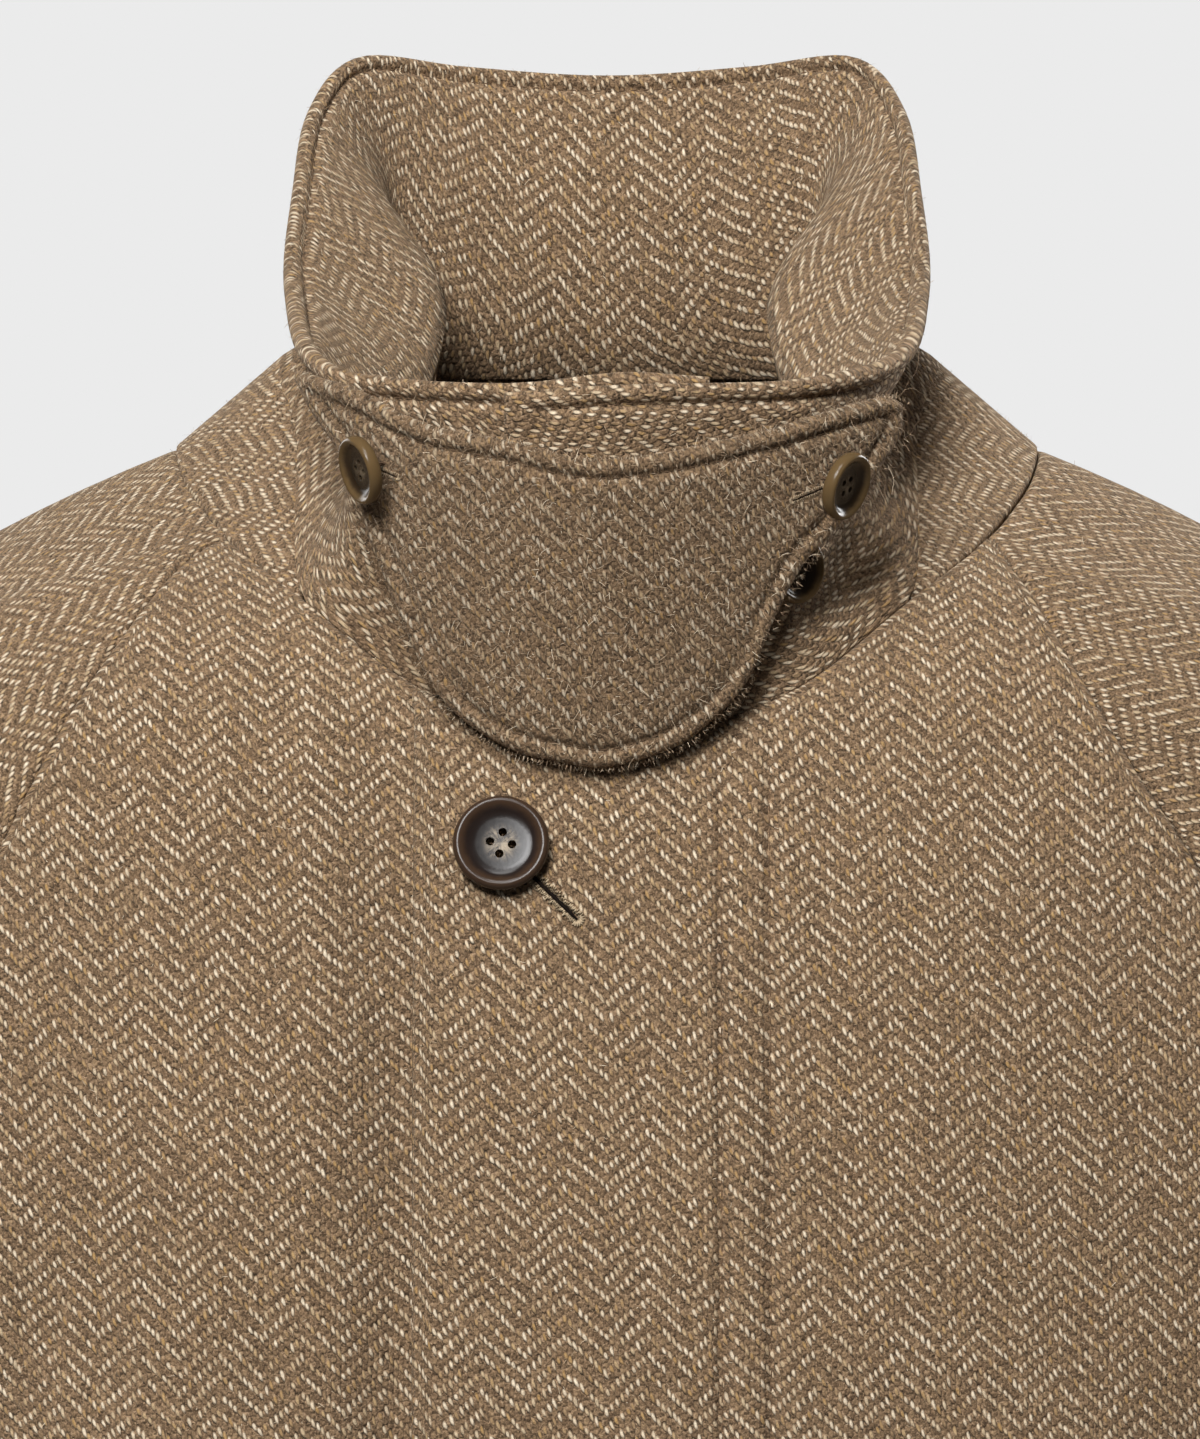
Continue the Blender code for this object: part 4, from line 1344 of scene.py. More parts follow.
class Maker:
    """Adds nodes to one material and joins them."""

    def __init__(self, name):
        self.material = bpy.data.materials.new(name)
        self.material.use_nodes = True
        self.nodes = self.material.node_tree.nodes
        self.links = self.material.node_tree.links
        self.shader = self.nodes["Principled BSDF"]

    def put(self, value, socket):
        if isinstance(value, bpy.types.NodeSocket):
            self.links.new(value, socket)
        elif value is not None:
            socket.default_value = value

    def node(self, kind, **settings):
        made = self.nodes.new(kind)
        for key, value in settings.items():
            setattr(made, key, value)
        return made

    def math(self, operation, *values, clamp=False):
        made = self.node("ShaderNodeMath", operation=operation, use_clamp=clamp)
        for value, socket in zip(values, made.inputs):
            self.put(value, socket)
        return made.outputs[0]

    def step(self, value, low, high):
        """A smooth step from 0 at low to 1 at high."""
        made = self.node("ShaderNodeMapRange", interpolation_type="SMOOTHSTEP")
        for given, key in ((value, "Value"), (low, "From Min"), (high, "From Max")):
            self.put(given, made.inputs[key])
        return made.outputs["Result"]

    def vector(self, x, y, z=0.0):
        made = self.node("ShaderNodeCombineXYZ")
        for value, socket in zip((x, y, z), made.inputs):
            self.put(value, socket)
        return made.outputs[0]

    def noise(self, vector, scale, detail=2.0, roughness=0.5):
        made = self.node("ShaderNodeTexNoise")
        self.put(vector, made.inputs["Vector"])
        self.put(scale, made.inputs["Scale"])
        self.put(detail, made.inputs["Detail"])
        self.put(roughness, made.inputs["Roughness"])
        return made.outputs["Fac"]

    def chance(self, vector):
        """A separate random number for each cell."""
        made = self.node("ShaderNodeTexWhiteNoise", noise_dimensions="3D")
        self.put(vector, made.inputs["Vector"])
        return made

    def mix(self, share, first, second, blend="MIX"):
        made = self.node("ShaderNodeMix", data_type="RGBA", blend_type=blend)
        self.put(share, made.inputs["Factor"])
        self.put(first, made.inputs["A"])
        self.put(second, made.inputs["B"])
        return made.outputs["Result"]

    def ramp(self, value, stops, interpolation="LINEAR"):
        made = self.node("ShaderNodeValToRGB")
        made.color_ramp.interpolation = interpolation
        elements = made.color_ramp.elements
        while len(elements) < len(stops):
            elements.new(0.5)
        for element, (position, colour) in zip(elements, stops):
            element.position = position
            element.color = colour + (1.0,)
        self.put(value, made.inputs["Fac"])
        return made.outputs["Color"]

    def bump(self, height, distance, strength=1.0):
        made = self.node("ShaderNodeBump")
        self.put(height, made.inputs["Height"])
        made.inputs["Distance"].default_value = distance
        made.inputs["Strength"].default_value = strength
        self.links.new(made.outputs["Normal"], self.shader.inputs["Normal"])


Weave = namedtuple("Weave", "grain x y end in_end along off fibre coarse")


def weave_of(make):
    """Where a place lies among the warp ends and along their floats, and how uneven its fibre is."""
    grain = make.node("ShaderNodeUVMap", uv_map="grain").outputs["UV"]
    parts = make.node("ShaderNodeSeparateXYZ")
    make.put(grain, parts.inputs[0])
    x, y = parts.outputs[0], parts.outputs[1]
    wander = make.noise(grain, 140.0, 1.0)
    drift = make.noise(make.vector(y, x, 3.0), 110.0, 1.0)
    ends = make.math("MULTIPLY_ADD", x, 1.0 / (END_PITCH * MM), 400.0)
    ends = make.math("MULTIPLY_ADD", wander, 1.2, ends)
    picks = make.math("MULTIPLY_ADD", y, 1.0 / (PICK_PITCH * MM), 2000.0)
    picks = make.math("MULTIPLY_ADD", drift, 1.4, picks)
    end = make.math("FLOOR", ends)
    in_end = make.math("SUBTRACT", make.math("FRACT", ends), 0.5)
    zigzag = make.math("PINGPONG", end, float(STRIPE_ENDS))
    along = make.math("DIVIDE", make.math("SUBTRACT", picks, zigzag), 4.0)
    off = make.math("MULTIPLY_ADD", make.math("FRACT", along), 4.0, -2.0)
    fibre = make.noise(grain, 1500.0, 4.0, 0.75)
    coarse = make.noise(make.vector(x, y, 0.7), 620.0, 2.0, 0.6)
    return Weave(grain, x, y, end, in_end, along, off, fibre, coarse)


def ragged_oval(make, weave, across, along, power, ragged):
    """The distance from a float's middle, about 1 at its edge; across and along are place and size."""
    wide = make.math("POWER", make.math("ABSOLUTE", make.math("DIVIDE", *across)), 2.0)
    long = make.math("POWER", make.math("ABSOLUTE", make.math("DIVIDE", *along)), power)
    oval = make.math("ADD", wide, long)
    return make.math("MULTIPLY_ADD", make.math("SUBTRACT", weave.fibre, 0.5), ragged, oval)


def warp_floats(make, weave, nap):
    """The pale leaning floats: the distance from each, how much it covers and its yarn's colour."""
    dice = make.chance(make.vector(weave.end, make.math("FLOOR", weave.along), 1.0))
    dice_parts = make.node("ShaderNodeSeparateColor")
    make.put(dice.outputs["Color"], dice_parts.inputs[0])
    across = make.math("MULTIPLY_ADD", weave.off, DASH_LEAN, weave.in_end)
    across = make.math("MULTIPLY_ADD", make.math("MULTIPLY", weave.off, weave.off), -0.10, across)
    shift = make.math("SUBTRACT", dice_parts.outputs[1], 0.5)
    across = make.math("MULTIPLY_ADD", shift, 0.26, across)
    half_width = DASH_HALF_WIDTH * (1.0 - 0.25 * nap)
    length = make.math("MULTIPLY_ADD", dice_parts.outputs[2], 0.4, DASH_HALF_LENGTH - 0.2)
    oval = ragged_oval(make, weave, (across, half_width), (weave.off, length), 2.2, 2.4)
    dash = make.math("SUBTRACT", 1.0, make.step(oval, 0.15, 1.2))
    patch = make.math("SUBTRACT", make.noise(weave.grain, 60.0, 2.0), 0.5)
    pale = make.math("MULTIPLY_ADD", patch, 0.5, dice.outputs["Value"])
    return oval, dash, make.ramp(pale, YARNS)


def weft_floats(make, weave):
    """The brown weft between the pale floats: how much it covers and its yarn's colour."""
    under = make.math("ADD", weave.along, 0.5)
    off = make.math("MULTIPLY_ADD", make.math("FRACT", under), 4.0, -2.0)
    dice = make.chance(make.vector(weave.end, make.math("FLOOR", under), 7.0))
    oval = ragged_oval(make, weave, (weave.in_end, 0.56), (off, 0.86), 2.0, 2.2)
    weft = make.math("SUBTRACT", 1.0, make.step(oval, 0.3, 1.3))
    return weft, make.ramp(dice.outputs["Value"], WEFTS)


def weave_cracks(make, weave, oval):
    """The gaps at the end of each pale float and beside it, sunk by the bump and painted near black as
    shade.
    """
    crack = make.step(make.math("ABSOLUTE", make.math("SUBTRACT", weave.off, -1.42)), 0.46, 0.10)
    crack = make.math("MULTIPLY", crack, make.step(weave.coarse, 0.44, 0.60))
    beside = make.step(make.math("ABSOLUTE", make.math("SUBTRACT", oval, 1.5)), 0.5, 0.1)
    beside = make.math("MULTIPLY", beside, make.step(weave.coarse, 0.56, 0.36))
    return make.math("MAXIMUM", crack, beside)


def napped(make, weave, colour, nap):
    """The colour under a haze of fine fibre and single hairs."""
    haze = make.step(make.noise(weave.grain, 300.0, 3.0, 0.6), 0.40, 0.75)
    colour = make.mix(make.math("MULTIPLY", haze, 0.22 + 0.5 * nap), colour, HAZE)
    hair_way = make.vector(make.math("MULTIPLY", weave.x, 2.6), weave.y, 0.3)
    hair = make.step(make.noise(hair_way, 900.0, 3.0, 0.6), 0.52, 0.70)
    return make.mix(make.math("MULTIPLY", hair, 0.34 + 0.2 * nap), colour, HAIR)


def tweed_material(name, shade, nap):
    """Herringbone tweed: pale leaning warp floats on a brown weft, with a nap that blurs them."""
    make = Maker(name)
    weave = weave_of(make)
    oval, dash, yarn = warp_floats(make, weave, nap)
    weft, weft_yarn = weft_floats(make, weave)
    crack = weave_cracks(make, weave, oval)
    uneven = make.math("SUBTRACT", weave.coarse, 0.5)
    ground = make.ramp(make.math("MULTIPLY_ADD", uneven, 0.5, weave.fibre), GROUND)
    ground = make.mix(make.math("MULTIPLY", weft, 0.55), ground, weft_yarn)
    # Painted shade: the colour in the gaps between the yarns is mixed towards near black
    ground = make.mix(make.math("MULTIPLY", crack, 0.94), ground, GAP_SHADE + (1.0,))
    # Each float's pale yarn shows less at its lower end than from a little above its middle up, alike
    # on every float; more nap shows less of it
    worn = make.math("MULTIPLY_ADD", make.step(weave.off, -1.2, 0.5), 0.35, 0.65 - 0.2 * nap)
    colour = make.mix(make.math("MULTIPLY", dash, worn), ground, yarn)
    colour = napped(make, weave, colour, nap)
    speck = make.math("MULTIPLY_ADD", weave.fibre, 1.7, 0.15)
    cast = make.math("MULTIPLY_ADD", make.noise(weave.grain, 22.0, 1.0), 0.16, 0.92)
    # light scales the colour by random specks and patches and by shade; a shade below 1, as on the
    # tab, is partly painted shade
    light = make.math("MULTIPLY", make.math("MULTIPLY", speck, cast), shade)
    colour = make.mix(1.0, colour, make.vector(light, light, light), "MULTIPLY")
    make.put(colour, make.shader.inputs["Base Color"])
    height = make.math("MAXIMUM", dash, make.math("MULTIPLY", weft, 0.6))
    height = make.math("MULTIPLY_ADD", weave.fibre, 0.9, height)
    height = make.math("MULTIPLY_ADD", crack, -0.6, height)
    make.bump(height, 0.0005, 0.9)
    make.shader.inputs["Roughness"].default_value = 0.92
    make.shader.inputs["Specular IOR Level"].default_value = 0.18
    make.shader.inputs["Sheen Weight"].default_value = 0.18
    make.shader.inputs["Sheen Roughness"].default_value = 0.45
    make.shader.inputs["Sheen Tint"].default_value = (0.9, 0.74, 0.55, 1.0)
    return make.material


def horn_material(name, rim, middle, burst):
    """Polished horn: a brown rim, a dark dish and pale streaks that spread from the holes."""
    make = Maker(name)
    disc = make.node("ShaderNodeUVMap", uv_map="grain").outputs["UV"]
    parts = make.node("ShaderNodeSeparateXYZ")
    make.put(disc, parts.inputs[0])
    reach = make.math("POWER", parts.outputs[0], 2.0)
    reach = make.math("SQRT", make.math("ADD", reach, make.math("POWER", parts.outputs[1], 2.0)))
    turn = make.math("ARCTAN2", parts.outputs[1], parts.outputs[0])
    outwards = make.math("MULTIPLY", reach, 120.0)
    rays = make.vector(make.math("SINE", turn), make.math("COSINE", turn), outwards)
    streak = make.noise(rays, 5.0, 4.0, 0.7)
    cloud = make.noise(disc, 260.0, 3.0, 0.6)
    away = make.math("MULTIPLY_ADD", make.math("SUBTRACT", cloud, 0.5), 0.0018, reach)
    share = make.math("DIVIDE", away, HORN_DRAWN_AT / 2 * MM)
    dark = tuple(part * 0.45 for part in middle)
    base = make.ramp(share, ((0.0, middle), (0.45, dark), (0.70, middle), (0.80, rim), (1.0, rim)))
    spread_out = make.math("MULTIPLY_ADD", cloud, 0.6, make.math("MULTIPLY", streak, 0.6))
    pale = make.math("MULTIPLY", make.step(spread_out, 0.50, 0.72), make.step(share, 0.46, 0.12))
    colour = make.mix(make.math("MULTIPLY", pale, burst), base, (0.46, 0.36, 0.24, 1.0))
    make.put(colour, make.shader.inputs["Base Color"])
    make.put(make.math("MULTIPLY_ADD", cloud, 0.12, 0.16), make.shader.inputs["Roughness"])
    make.bump(streak, 0.00004, 0.3)
    make.shader.inputs["Specular IOR Level"].default_value = 0.16
    make.shader.inputs["Coat Weight"].default_value = 0.03
    make.shader.inputs["Coat Roughness"].default_value = 0.2
    make.shader.inputs["Subsurface Weight"].default_value = 0.08
    make.shader.inputs["Subsurface Radius"].default_value = (0.002, 0.001, 0.0005)
    return make.material


def thread_material(name, colour):
    """Spun thread with a fine twist."""
    make = Maker(name)
    place_in = make.node("ShaderNodeTexCoord").outputs["Object"]
    twist = make.noise(place_in, 2400.0, 2.0)
    darker = tuple(part * 0.55 for part in colour) + (1.0,)
    make.put(make.mix(twist, darker, colour + (1.0,)), make.shader.inputs["Base Color"])
    make.bump(twist, 0.0001, 0.6)
    make.shader.inputs["Roughness"].default_value = 0.9
    make.shader.inputs["Specular IOR Level"].default_value = 0.1
    return make.material


def fibre_material(name):
    """Loose fibres: each takes one of the yarn colours."""
    make = Maker(name)
    dice = make.node("ShaderNodeNewGeometry").outputs["Random Per Island"]
    make.put(make.ramp(dice, FIBRES), make.shader.inputs["Base Color"])
    make.shader.inputs["Roughness"].default_value = 0.85
    make.shader.inputs["Specular IOR Level"].default_value = 0.2
    return make.material


# Buttons

def chest_point(x, z):
    """The left front near the closing edge, by place seen from the front."""
    return crease_front(form_point(x, z, -1), True)


def tab_face(x, z):
    """The tab's outer face, by place seen from the front."""
    return Vector((x, tab_depth(x, z), z))


def plain_chest(x, z):
    return form_point(x, z, -1)


def button_frame(button):
    """Where the button's back lies on its cloth and how it is turned, in millimetres."""
    surface = {"front": plain_chest, "tab": tab_face, "fall": fall_point}[button.cloth]
    step = 0.01
    middle = surface(button.across, button.down)
    across = surface(button.across + step, button.down) - middle
    down = surface(button.across, button.down + step) - middle
    out = across.cross(down).normalized()
    if out.y > 0:
        out.negate()
    lift = out * button.lift
    out = Matrix.Rotation(math.radians(button.lean), 3, "Z") @ out
    right = Vector((0, 0, 1)).cross(out).normalized()
    out = Matrix.Rotation(math.radians(button.droop), 3, right) @ out
    up = out.cross(right)
    frame = Matrix((right, up, out)).transposed().to_4x4()
    frame.translation = middle + lift
    return frame @ Matrix.Rotation(math.radians(button.turn), 4, "Z")


def button_section(radius):
    """Half the button's section: flat back, round rim, dished middle."""
    top = BUTTON_THICKNESS
    knots = (
        (0.0, 0.0),
        (0.80, 0.0),
        (0.88, 0.03),
        (0.95, 0.16),
        (0.99, 0.38),
        (1.0, 0.58),
        (0.985, 0.80),
        (0.95, 0.95),
        (0.91, 1.0),
        (0.86, 0.985),
        (0.81, 0.93),
        (0.76, 0.82),
        (0.71, 0.71),
        (0.64, 0.635),
        (0.52, 0.61),
        (0.30, 0.60),
        (0.16, 0.60),
        (0.0, 0.60),
    )
    return [(share * radius, height * top) for share, height in knots]


def turned_disc(section, steps):
    """The points and faces of a disc turned on a lathe."""
    points = [(0.0, 0.0, section[0][1])]
    faces = []
    rings = section[1:-1]
    for reach, height in rings:
        for step in range(steps):
            turn = math.tau * step / steps
            points.append((reach * math.cos(turn), reach * math.sin(turn), height))
    points.append((0.0, 0.0, section[-1][1]))
    for step in range(steps):
        after = (step + 1) % steps
        faces.append((0, 1 + after, 1 + step))
        for ring in range(len(rings) - 1):
            low = 1 + ring * steps
            high = low + steps
            faces.append((low + step, low + after, high + after, high + step))
        last = 1 + (len(rings) - 1) * steps
        faces.append((last + step, last + after, len(points) - 1))
    return points, faces


def hole_pins(diameter):
    """Four round pins that cut the sewing holes of one button."""
    shape = bmesh.new()
    for quarter in range(4):
        turn = math.radians(45.0 + 90.0 * quarter)
        spot = Vector((math.cos(turn), math.sin(turn), 0)) * diameter * HOLE_CIRCLE
        spot.z = BUTTON_THICKNESS / 2
        bmesh.ops.create_cone(
            shape,
            cap_ends=True,
            segments=20,
            radius1=diameter * HOLE_SIZE,
            radius2=diameter * HOLE_SIZE,
            depth=BUTTON_THICKNESS * 2,
            matrix=Matrix.Translation(spot),
        )
    mesh = bpy.data.meshes.new("pins")
    shape.to_mesh(mesh)
    shape.free()
    pins = bpy.data.objects.new("pins", mesh)
    bpy.context.scene.collection.objects.link(pins)
    return pins


def make_button(button, horn):
    """A button with its four holes cut through, laid on its cloth."""
    points, faces = turned_disc(button_section(button.diameter / 2), 72)
    mesh = bpy.data.meshes.new(button.name + "_horn")
    mesh.from_pydata(points, [], faces)
    disc = bpy.data.objects.new(button.name + "_horn", mesh)
    bpy.context.scene.collection.objects.link(disc)
    pins = hole_pins(button.diameter)
    cut = disc.modifiers.new("Holes", "BOOLEAN")
    cut.operation = "DIFFERENCE"
    cut.solver = "EXACT"
    cut.object = pins
    bpy.context.view_layer.update()
    cut_disc = disc.evaluated_get(bpy.context.evaluated_depsgraph_get())
    cut_mesh = bpy.data.meshes.new_from_object(cut_disc)
    disc.modifiers.clear()
    disc.data = cut_mesh
    bpy.data.objects.remove(pins)
    layer = cut_mesh.uv_layers.new(name="grain")
    scale = HORN_DRAWN_AT / button.diameter
    for loop in cut_mesh.loops:
        spot = cut_mesh.vertices[loop.vertex_index].co * scale * MM
        layer.data[loop.index].uv = (spot.x, spot.y)
    frame_mm = button_frame(button)
    for vertex in cut_mesh.vertices:
        vertex.co = (frame_mm @ vertex.co) * MM
    cut_mesh.materials.clear()
    cut_mesh.materials.append(horn)
    cut_mesh.set_sharp_from_angle(angle=math.radians(50))
    place(disc, button.name, "horn")
    return disc


# Threads, stitches and loose fibres

def sew_button(button, strands):
    """The thread shank that holds a button to its cloth."""
    frame = button_frame(button)
    foot = frame @ Vector((0, 0, -button.lift - 0.6))
    for quarter in range(4):
        turn = math.radians(45.0 + 90.0 * quarter)
        hole = Vector((math.cos(turn), math.sin(turn), 0)) * button.diameter * HOLE_CIRCLE
        waist = (frame @ (hole * 0.5)).lerp(foot, 0.5)
        strands.tube([frame @ (hole + Vector((0, 0, 0.3))), waist, foot], 0.3)


class Strands:
    """Collects many thin tubes or ribbons in one mesh."""

    def __init__(self):
        self.points = []
        self.faces = []

    def tube(self, path, radius, sides=5):
        """A tube along a few points, in millimetres, thinner at its two ends."""
        ways = [path[min(k + 1, len(path) - 1)] - path[max(k - 1, 0)] for k in range(len(path))]
        first = len(self.points)
        for index, (point, way) in enumerate(zip(path, ways)):
            way = way.normalized()
            aside = way.orthogonal().normalized()
            other = way.cross(aside)
            size = radius * (0.55 if index in (0, len(path) - 1) else 1.0)
            for side in range(sides):
                turn = math.tau * side / sides
                spoke = aside * math.cos(turn) + other * math.sin(turn)
                self.points.append((point + spoke * size) * MM)
        for index in range(len(path) - 1):
            for side in range(sides):
                after = (side + 1) % sides
                low = first + index * sides
                self.faces.append((low + side, low + after, low + sides + after, low + sides + side))

    def ribbon(self, path, width, aside):
        """A flat fibre that ends in a point."""
        first = len(self.points)
        for index, point in enumerate(path[:-1]):
            half = aside * width * 0.5 * (1.0 - 0.5 * index / len(path))
            self.points += [(point - half) * MM, (point + half) * MM]
        self.points.append(path[-1] * MM)
        for index in range(len(path) - 2):
            low = first + 2 * index
            self.faces.append((low, low + 1, low + 3, low + 2))
        low = first + 2 * (len(path) - 2)
        self.faces.append((low, low + 1, low + 2))

    def piece(self, name, look, slot):
        mesh = bpy.data.meshes.new(name)
        mesh.from_pydata([tuple(point) for point in self.points], [], self.faces)
        mesh.polygons.foreach_set("use_smooth", [True] * len(mesh.polygons))
        mesh.materials.append(look)
        made = bpy.data.objects.new(name, mesh)
        bpy.context.scene.collection.objects.link(made)
        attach(made, "root")


def stitch_line(strands, points, ways_out, pitch, sink):
    """Stitches along a line of points, each dipping into the cloth at its two ends."""
    lengths = [0.0]
    for a, b in zip(points, points[1:]):
        lengths.append(lengths[-1] + (b - a).length)
    place_along = 0.4

    def at(distance):
        index = min(max(np.searchsorted(lengths, distance) - 1, 0), len(points) - 2)
        share = (distance - lengths[index]) / max(lengths[index + 1] - lengths[index], 1e-6)
        return points[index].lerp(points[index + 1], share), ways_out[index]

    while place_along + pitch < lengths[-1]:
        path = []
        for share, rise in ((0.08, -0.25), (0.28, 0.10), (0.55, 0.16), (0.82, -0.25)):
            point, out = at(place_along + pitch * share)
            path.append(point + out * (rise - sink))
        strands.tube(path, STITCH_RADIUS)
        place_along += pitch


def outward(surface, across, down, step=0.01):
    """The way out of the front of a surface at one of its places."""
    middle = surface(across, down)
    one = surface(across + step, down) - middle
    two = surface(across, down + step) - middle
    return one.cross(two).normalized()


def stitch_fly(strands):
    for line, top in zip(FLY_LINES, FLY_TOPS):
        levels = spread(top, HEM_LEVEL + 4.0, 240)
        points = [chest_line(line, z) for z in levels]
        stitch_line(strands, points, [Vector((0, -1, 0))] * len(points), FLY_STITCH_PITCH, 0.0)


def chest_line(x, z):
    """A point of the left front at x when seen at the chest, following the panel down."""
    return crease_front(body_point(angle_of(x), z), True)


def stitch_fall(strands):
    """Stitching inside the upper edge of the fall from end to end, on both of its faces."""
    sink = FALL_WALL * STITCH_PINCH / 2
    end = COLLAR_END - STITCH_INSET / COLLAR_PLACE_LENGTH
    for face in (1, -1):
        points = []
        ways = []
        for at in spread(-end, end, 260):
            level = 1.0 - STITCH_INSET / fall_length(at)
            out = outward(fall_point, at, level)
            point = fall_point(at, level)
            if out.dot(Vector((point.x, point.y + 25.0, 0.0))) < 0:
                out.negate()
            points.append(point - out * (FALL_WALL if face < 0 else 0.0))
            ways.append(out * face)
        stitch_line(strands, points, ways, STITCH_PITCH, sink)


def stitch_tab(strands):
    """Stitching inside the edge of the tab."""
    outline = tab_outline()
    loop = []
    earlier = np.roll(outline, 1, axis=0)
    later = np.roll(outline, -1, axis=0)
    for before, spot, after in zip(earlier, outline, later):
        way = after - before
        length = np.linalg.norm(way)
        if length < 1e-6:
            continue
        inward = np.array((way[1], -way[0])) / length
        inset = spot + inward * STITCH_INSET
        if distance_to(outline, *inset) > STITCH_INSET * 0.94:
            loop.append(inset)
    points = [tab_face(x, z) for x, z in loop]
    points.append(points[0].copy())
    ways = [outward(tab_face, x, z) for x, z in loop]
    ways = [way if way.y < 0 else -way for way in ways]
    ways.append(ways[0])
    stitch_line(strands, points, ways, STITCH_PITCH, TAB_WALL * STITCH_PINCH / 2)


def work_buttonhole(hole, strands, slit):
    """A slit edged with close stitches, lying on its cloth; finer on the tab. Its dark core is painted
    shadow.
    """
    surface = chest_point if hole.cloth == "front" else tab_face
    size = 1.0 if hole.cloth == "front" else 0.5
    start = Vector((hole.start_x, hole.start_z))
    end = Vector((hole.end_x, hole.end_z))
    way = (end - start).normalized()
    aside = Vector((-way.y, way.x))
    length = (end - start).length
    count = int(length / 0.42)
    draw = random.Random(BUTTONHOLE_SEED)
    for index in range(count + 1):
        middle = start + way * length * index / count
        for edge in (-1, 1):
            path = []
            reach = size * (1.7 + draw.uniform(-0.4, 0.4))
            for share, rise in ((0.26, -0.10), (0.42, 0.50), (0.75, 0.45), (1.0, -0.25)):
                spot = middle + aside * edge * reach * share + way * draw.uniform(-0.08, 0.08)
                path.append(surface(spot.x, spot.y) + Vector((0, -rise * size, 0)))
            strands.tube(path, 0.24 * size, 5)
    for fan in spread(-90.0, 90.0, 8):
        turn = math.radians(fan)
        ray = way * math.cos(turn) + aside * math.sin(turn)
        path = []
        for share, rise in ((0.1, -0.1), (0.4, 0.42), (0.8, 0.4), (1.0, -0.2)):
            spot = end + ray * 1.8 * size * share
            path.append(surface(spot.x, spot.y) + Vector((0, -rise * size, 0)))
        strands.tube(path, 0.24 * size, 5)
    # Painted shadow: a near-black tube along the slit stands for the shade in its opening
    slit_shadow_core = []
    for share in spread(0.0, 1.0, 14):
        spot = start.lerp(end, share)
        slit_shadow_core.append(surface(spot.x, spot.y) + Vector((0, -0.30 * size, 0)))
    slit.tube(slit_shadow_core, 0.48 * size * size, 6)


def fuzz(row, draw, look):
    """Loose fibres standing out of a piece of cloth, most of them where it is seen near by."""
    source = bpy.data.objects[row.piece + "_cloth"]
    evaluated = source.evaluated_get(bpy.context.evaluated_depsgraph_get())
    mesh = evaluated.to_mesh()
    mesh.calc_loop_triangles()
    triangles = np.array([triangle.vertices[:] for triangle in mesh.loop_triangles])
    points = np.array([vertex.co[:] for vertex in mesh.vertices]) / MM
    evaluated.to_mesh_clear()
    corners = points[triangles]
    cross = np.cross(corners[:, 1] - corners[:, 0], corners[:, 2] - corners[:, 0])
    area = np.linalg.norm(cross, axis=1)
    level = corners[:, :, 2].mean(axis=1)
    weight = area * np.where(level > DENSE_ABOVE, 1.0, 0.05)
    chosen = draw.choice(len(area), size=row.count, p=weight / weight.sum())
    strands = Strands()
    for index in chosen:
        if area[index] < 1e-6:
            continue
        a, b = sorted(draw.random(2))
        spot = corners[index, 0] * a + corners[index, 1] * (b - a) + corners[index, 2] * (1 - b)
        out = Vector(cross[index] / area[index])
        aside = out.orthogonal().normalized()
        turn = draw.random() * math.tau
        lie = aside * math.cos(turn) + out.cross(aside) * math.sin(turn)
        length = 0.7 + row.longest * draw.random() ** 3
        lift = 0.25 + 0.75 * draw.random() ** 2
        grow_fibre(strands, Vector(spot), lie + out * lift, out, length, draw)
    strands.piece(row.piece + "_fuzz", look, "tweed")


def grow_fibre(strands, spot, way, out, length, draw):
    """One short fibre that leaves the cloth and bends back to it."""
    bend = Vector(draw.normal(0.0, 0.35, 3))
    way = way.normalized()
    path = [spot - out * 0.05]
    for _ in range(3):
        path.append(path[-1] + way * length / 3)
        way = (way + bend * 0.5 - out * 0.12).normalized()
    strands.ribbon(path, FIBRE_WIDTH, way.cross(out).normalized())


def tab_edge_fuzz(count, draw, look):
    """Fibres that stand out all round the edge of the tab, with a few long ones at its left end."""
    outline = tab_outline()
    strands = Strands()
    for index in draw.integers(1, len(outline) - 1, count):
        x, z = outline[index]
        way = outline[index + 1 if index + 1 < len(outline) else 0] - outline[index - 1]
        if np.linalg.norm(way) < 1e-6:
            continue
        aside = Vector((-way[1], 0.0, way[0])).normalized()
        out = Vector((0.0, -1.0, 0.0))
        spot = tab_face(x, z) - out * draw.uniform(0.6, TAB_WALL - 0.6)
        lie = aside + Vector(draw.normal(0.0, 0.55, 3))
        grow_fibre(strands, spot, lie, aside, 0.6 + 1.8 * draw.random() ** 2, draw)
    for _ in range(LONG_FIBRES):
        x = TAB[-1].x - 1.0 - 26.0 * draw.random() ** 2
        z = read(TAB, "lower", x) if draw.random() < 0.6 else read(TAB, "upper", x)
        point = tab_face(x, z) + Vector((0, 1.5, 0))
        way = Vector((0.8, -0.4, draw.normal(0.0, 0.7))).normalized()
        bend = Vector(draw.normal(0.0, 0.16, 3))
        path = [point]
        for _ in range(int(draw.integers(7, 15))):
            way = (way + bend + Vector(draw.normal(0.0, 0.2, 3))).normalized()
            path.append(path[-1] + way)
        strands.tube(path, 0.055, 3)
    strands.piece("tab_edge_fuzz", look, "tweed")


# Stage

def make_camera():
    target = Vector(CAMERA_TARGET) * MM
    rise = math.radians(CAMERA_ELEVATION)
    data = bpy.data.cameras.new("camera")
    data.sensor_fit = "HORIZONTAL"
    data.sensor_width = SENSOR_WIDTH
    data.lens = SENSOR_WIDTH * CAMERA_DISTANCE / (PICTURE_WIDTH / PIXELS_PER_MM)
    data.clip_start = 0.05
    data.clip_end = 100.0
    camera = bpy.data.objects.new("camera", data)
    camera.location = target + Vector((0, -math.cos(rise), math.sin(rise))) * CAMERA_DISTANCE * MM
    camera.rotation_euler = (math.pi / 2 - rise, 0.0, 0.0)
    bpy.context.scene.collection.objects.link(camera)
    bpy.context.scene.camera = camera


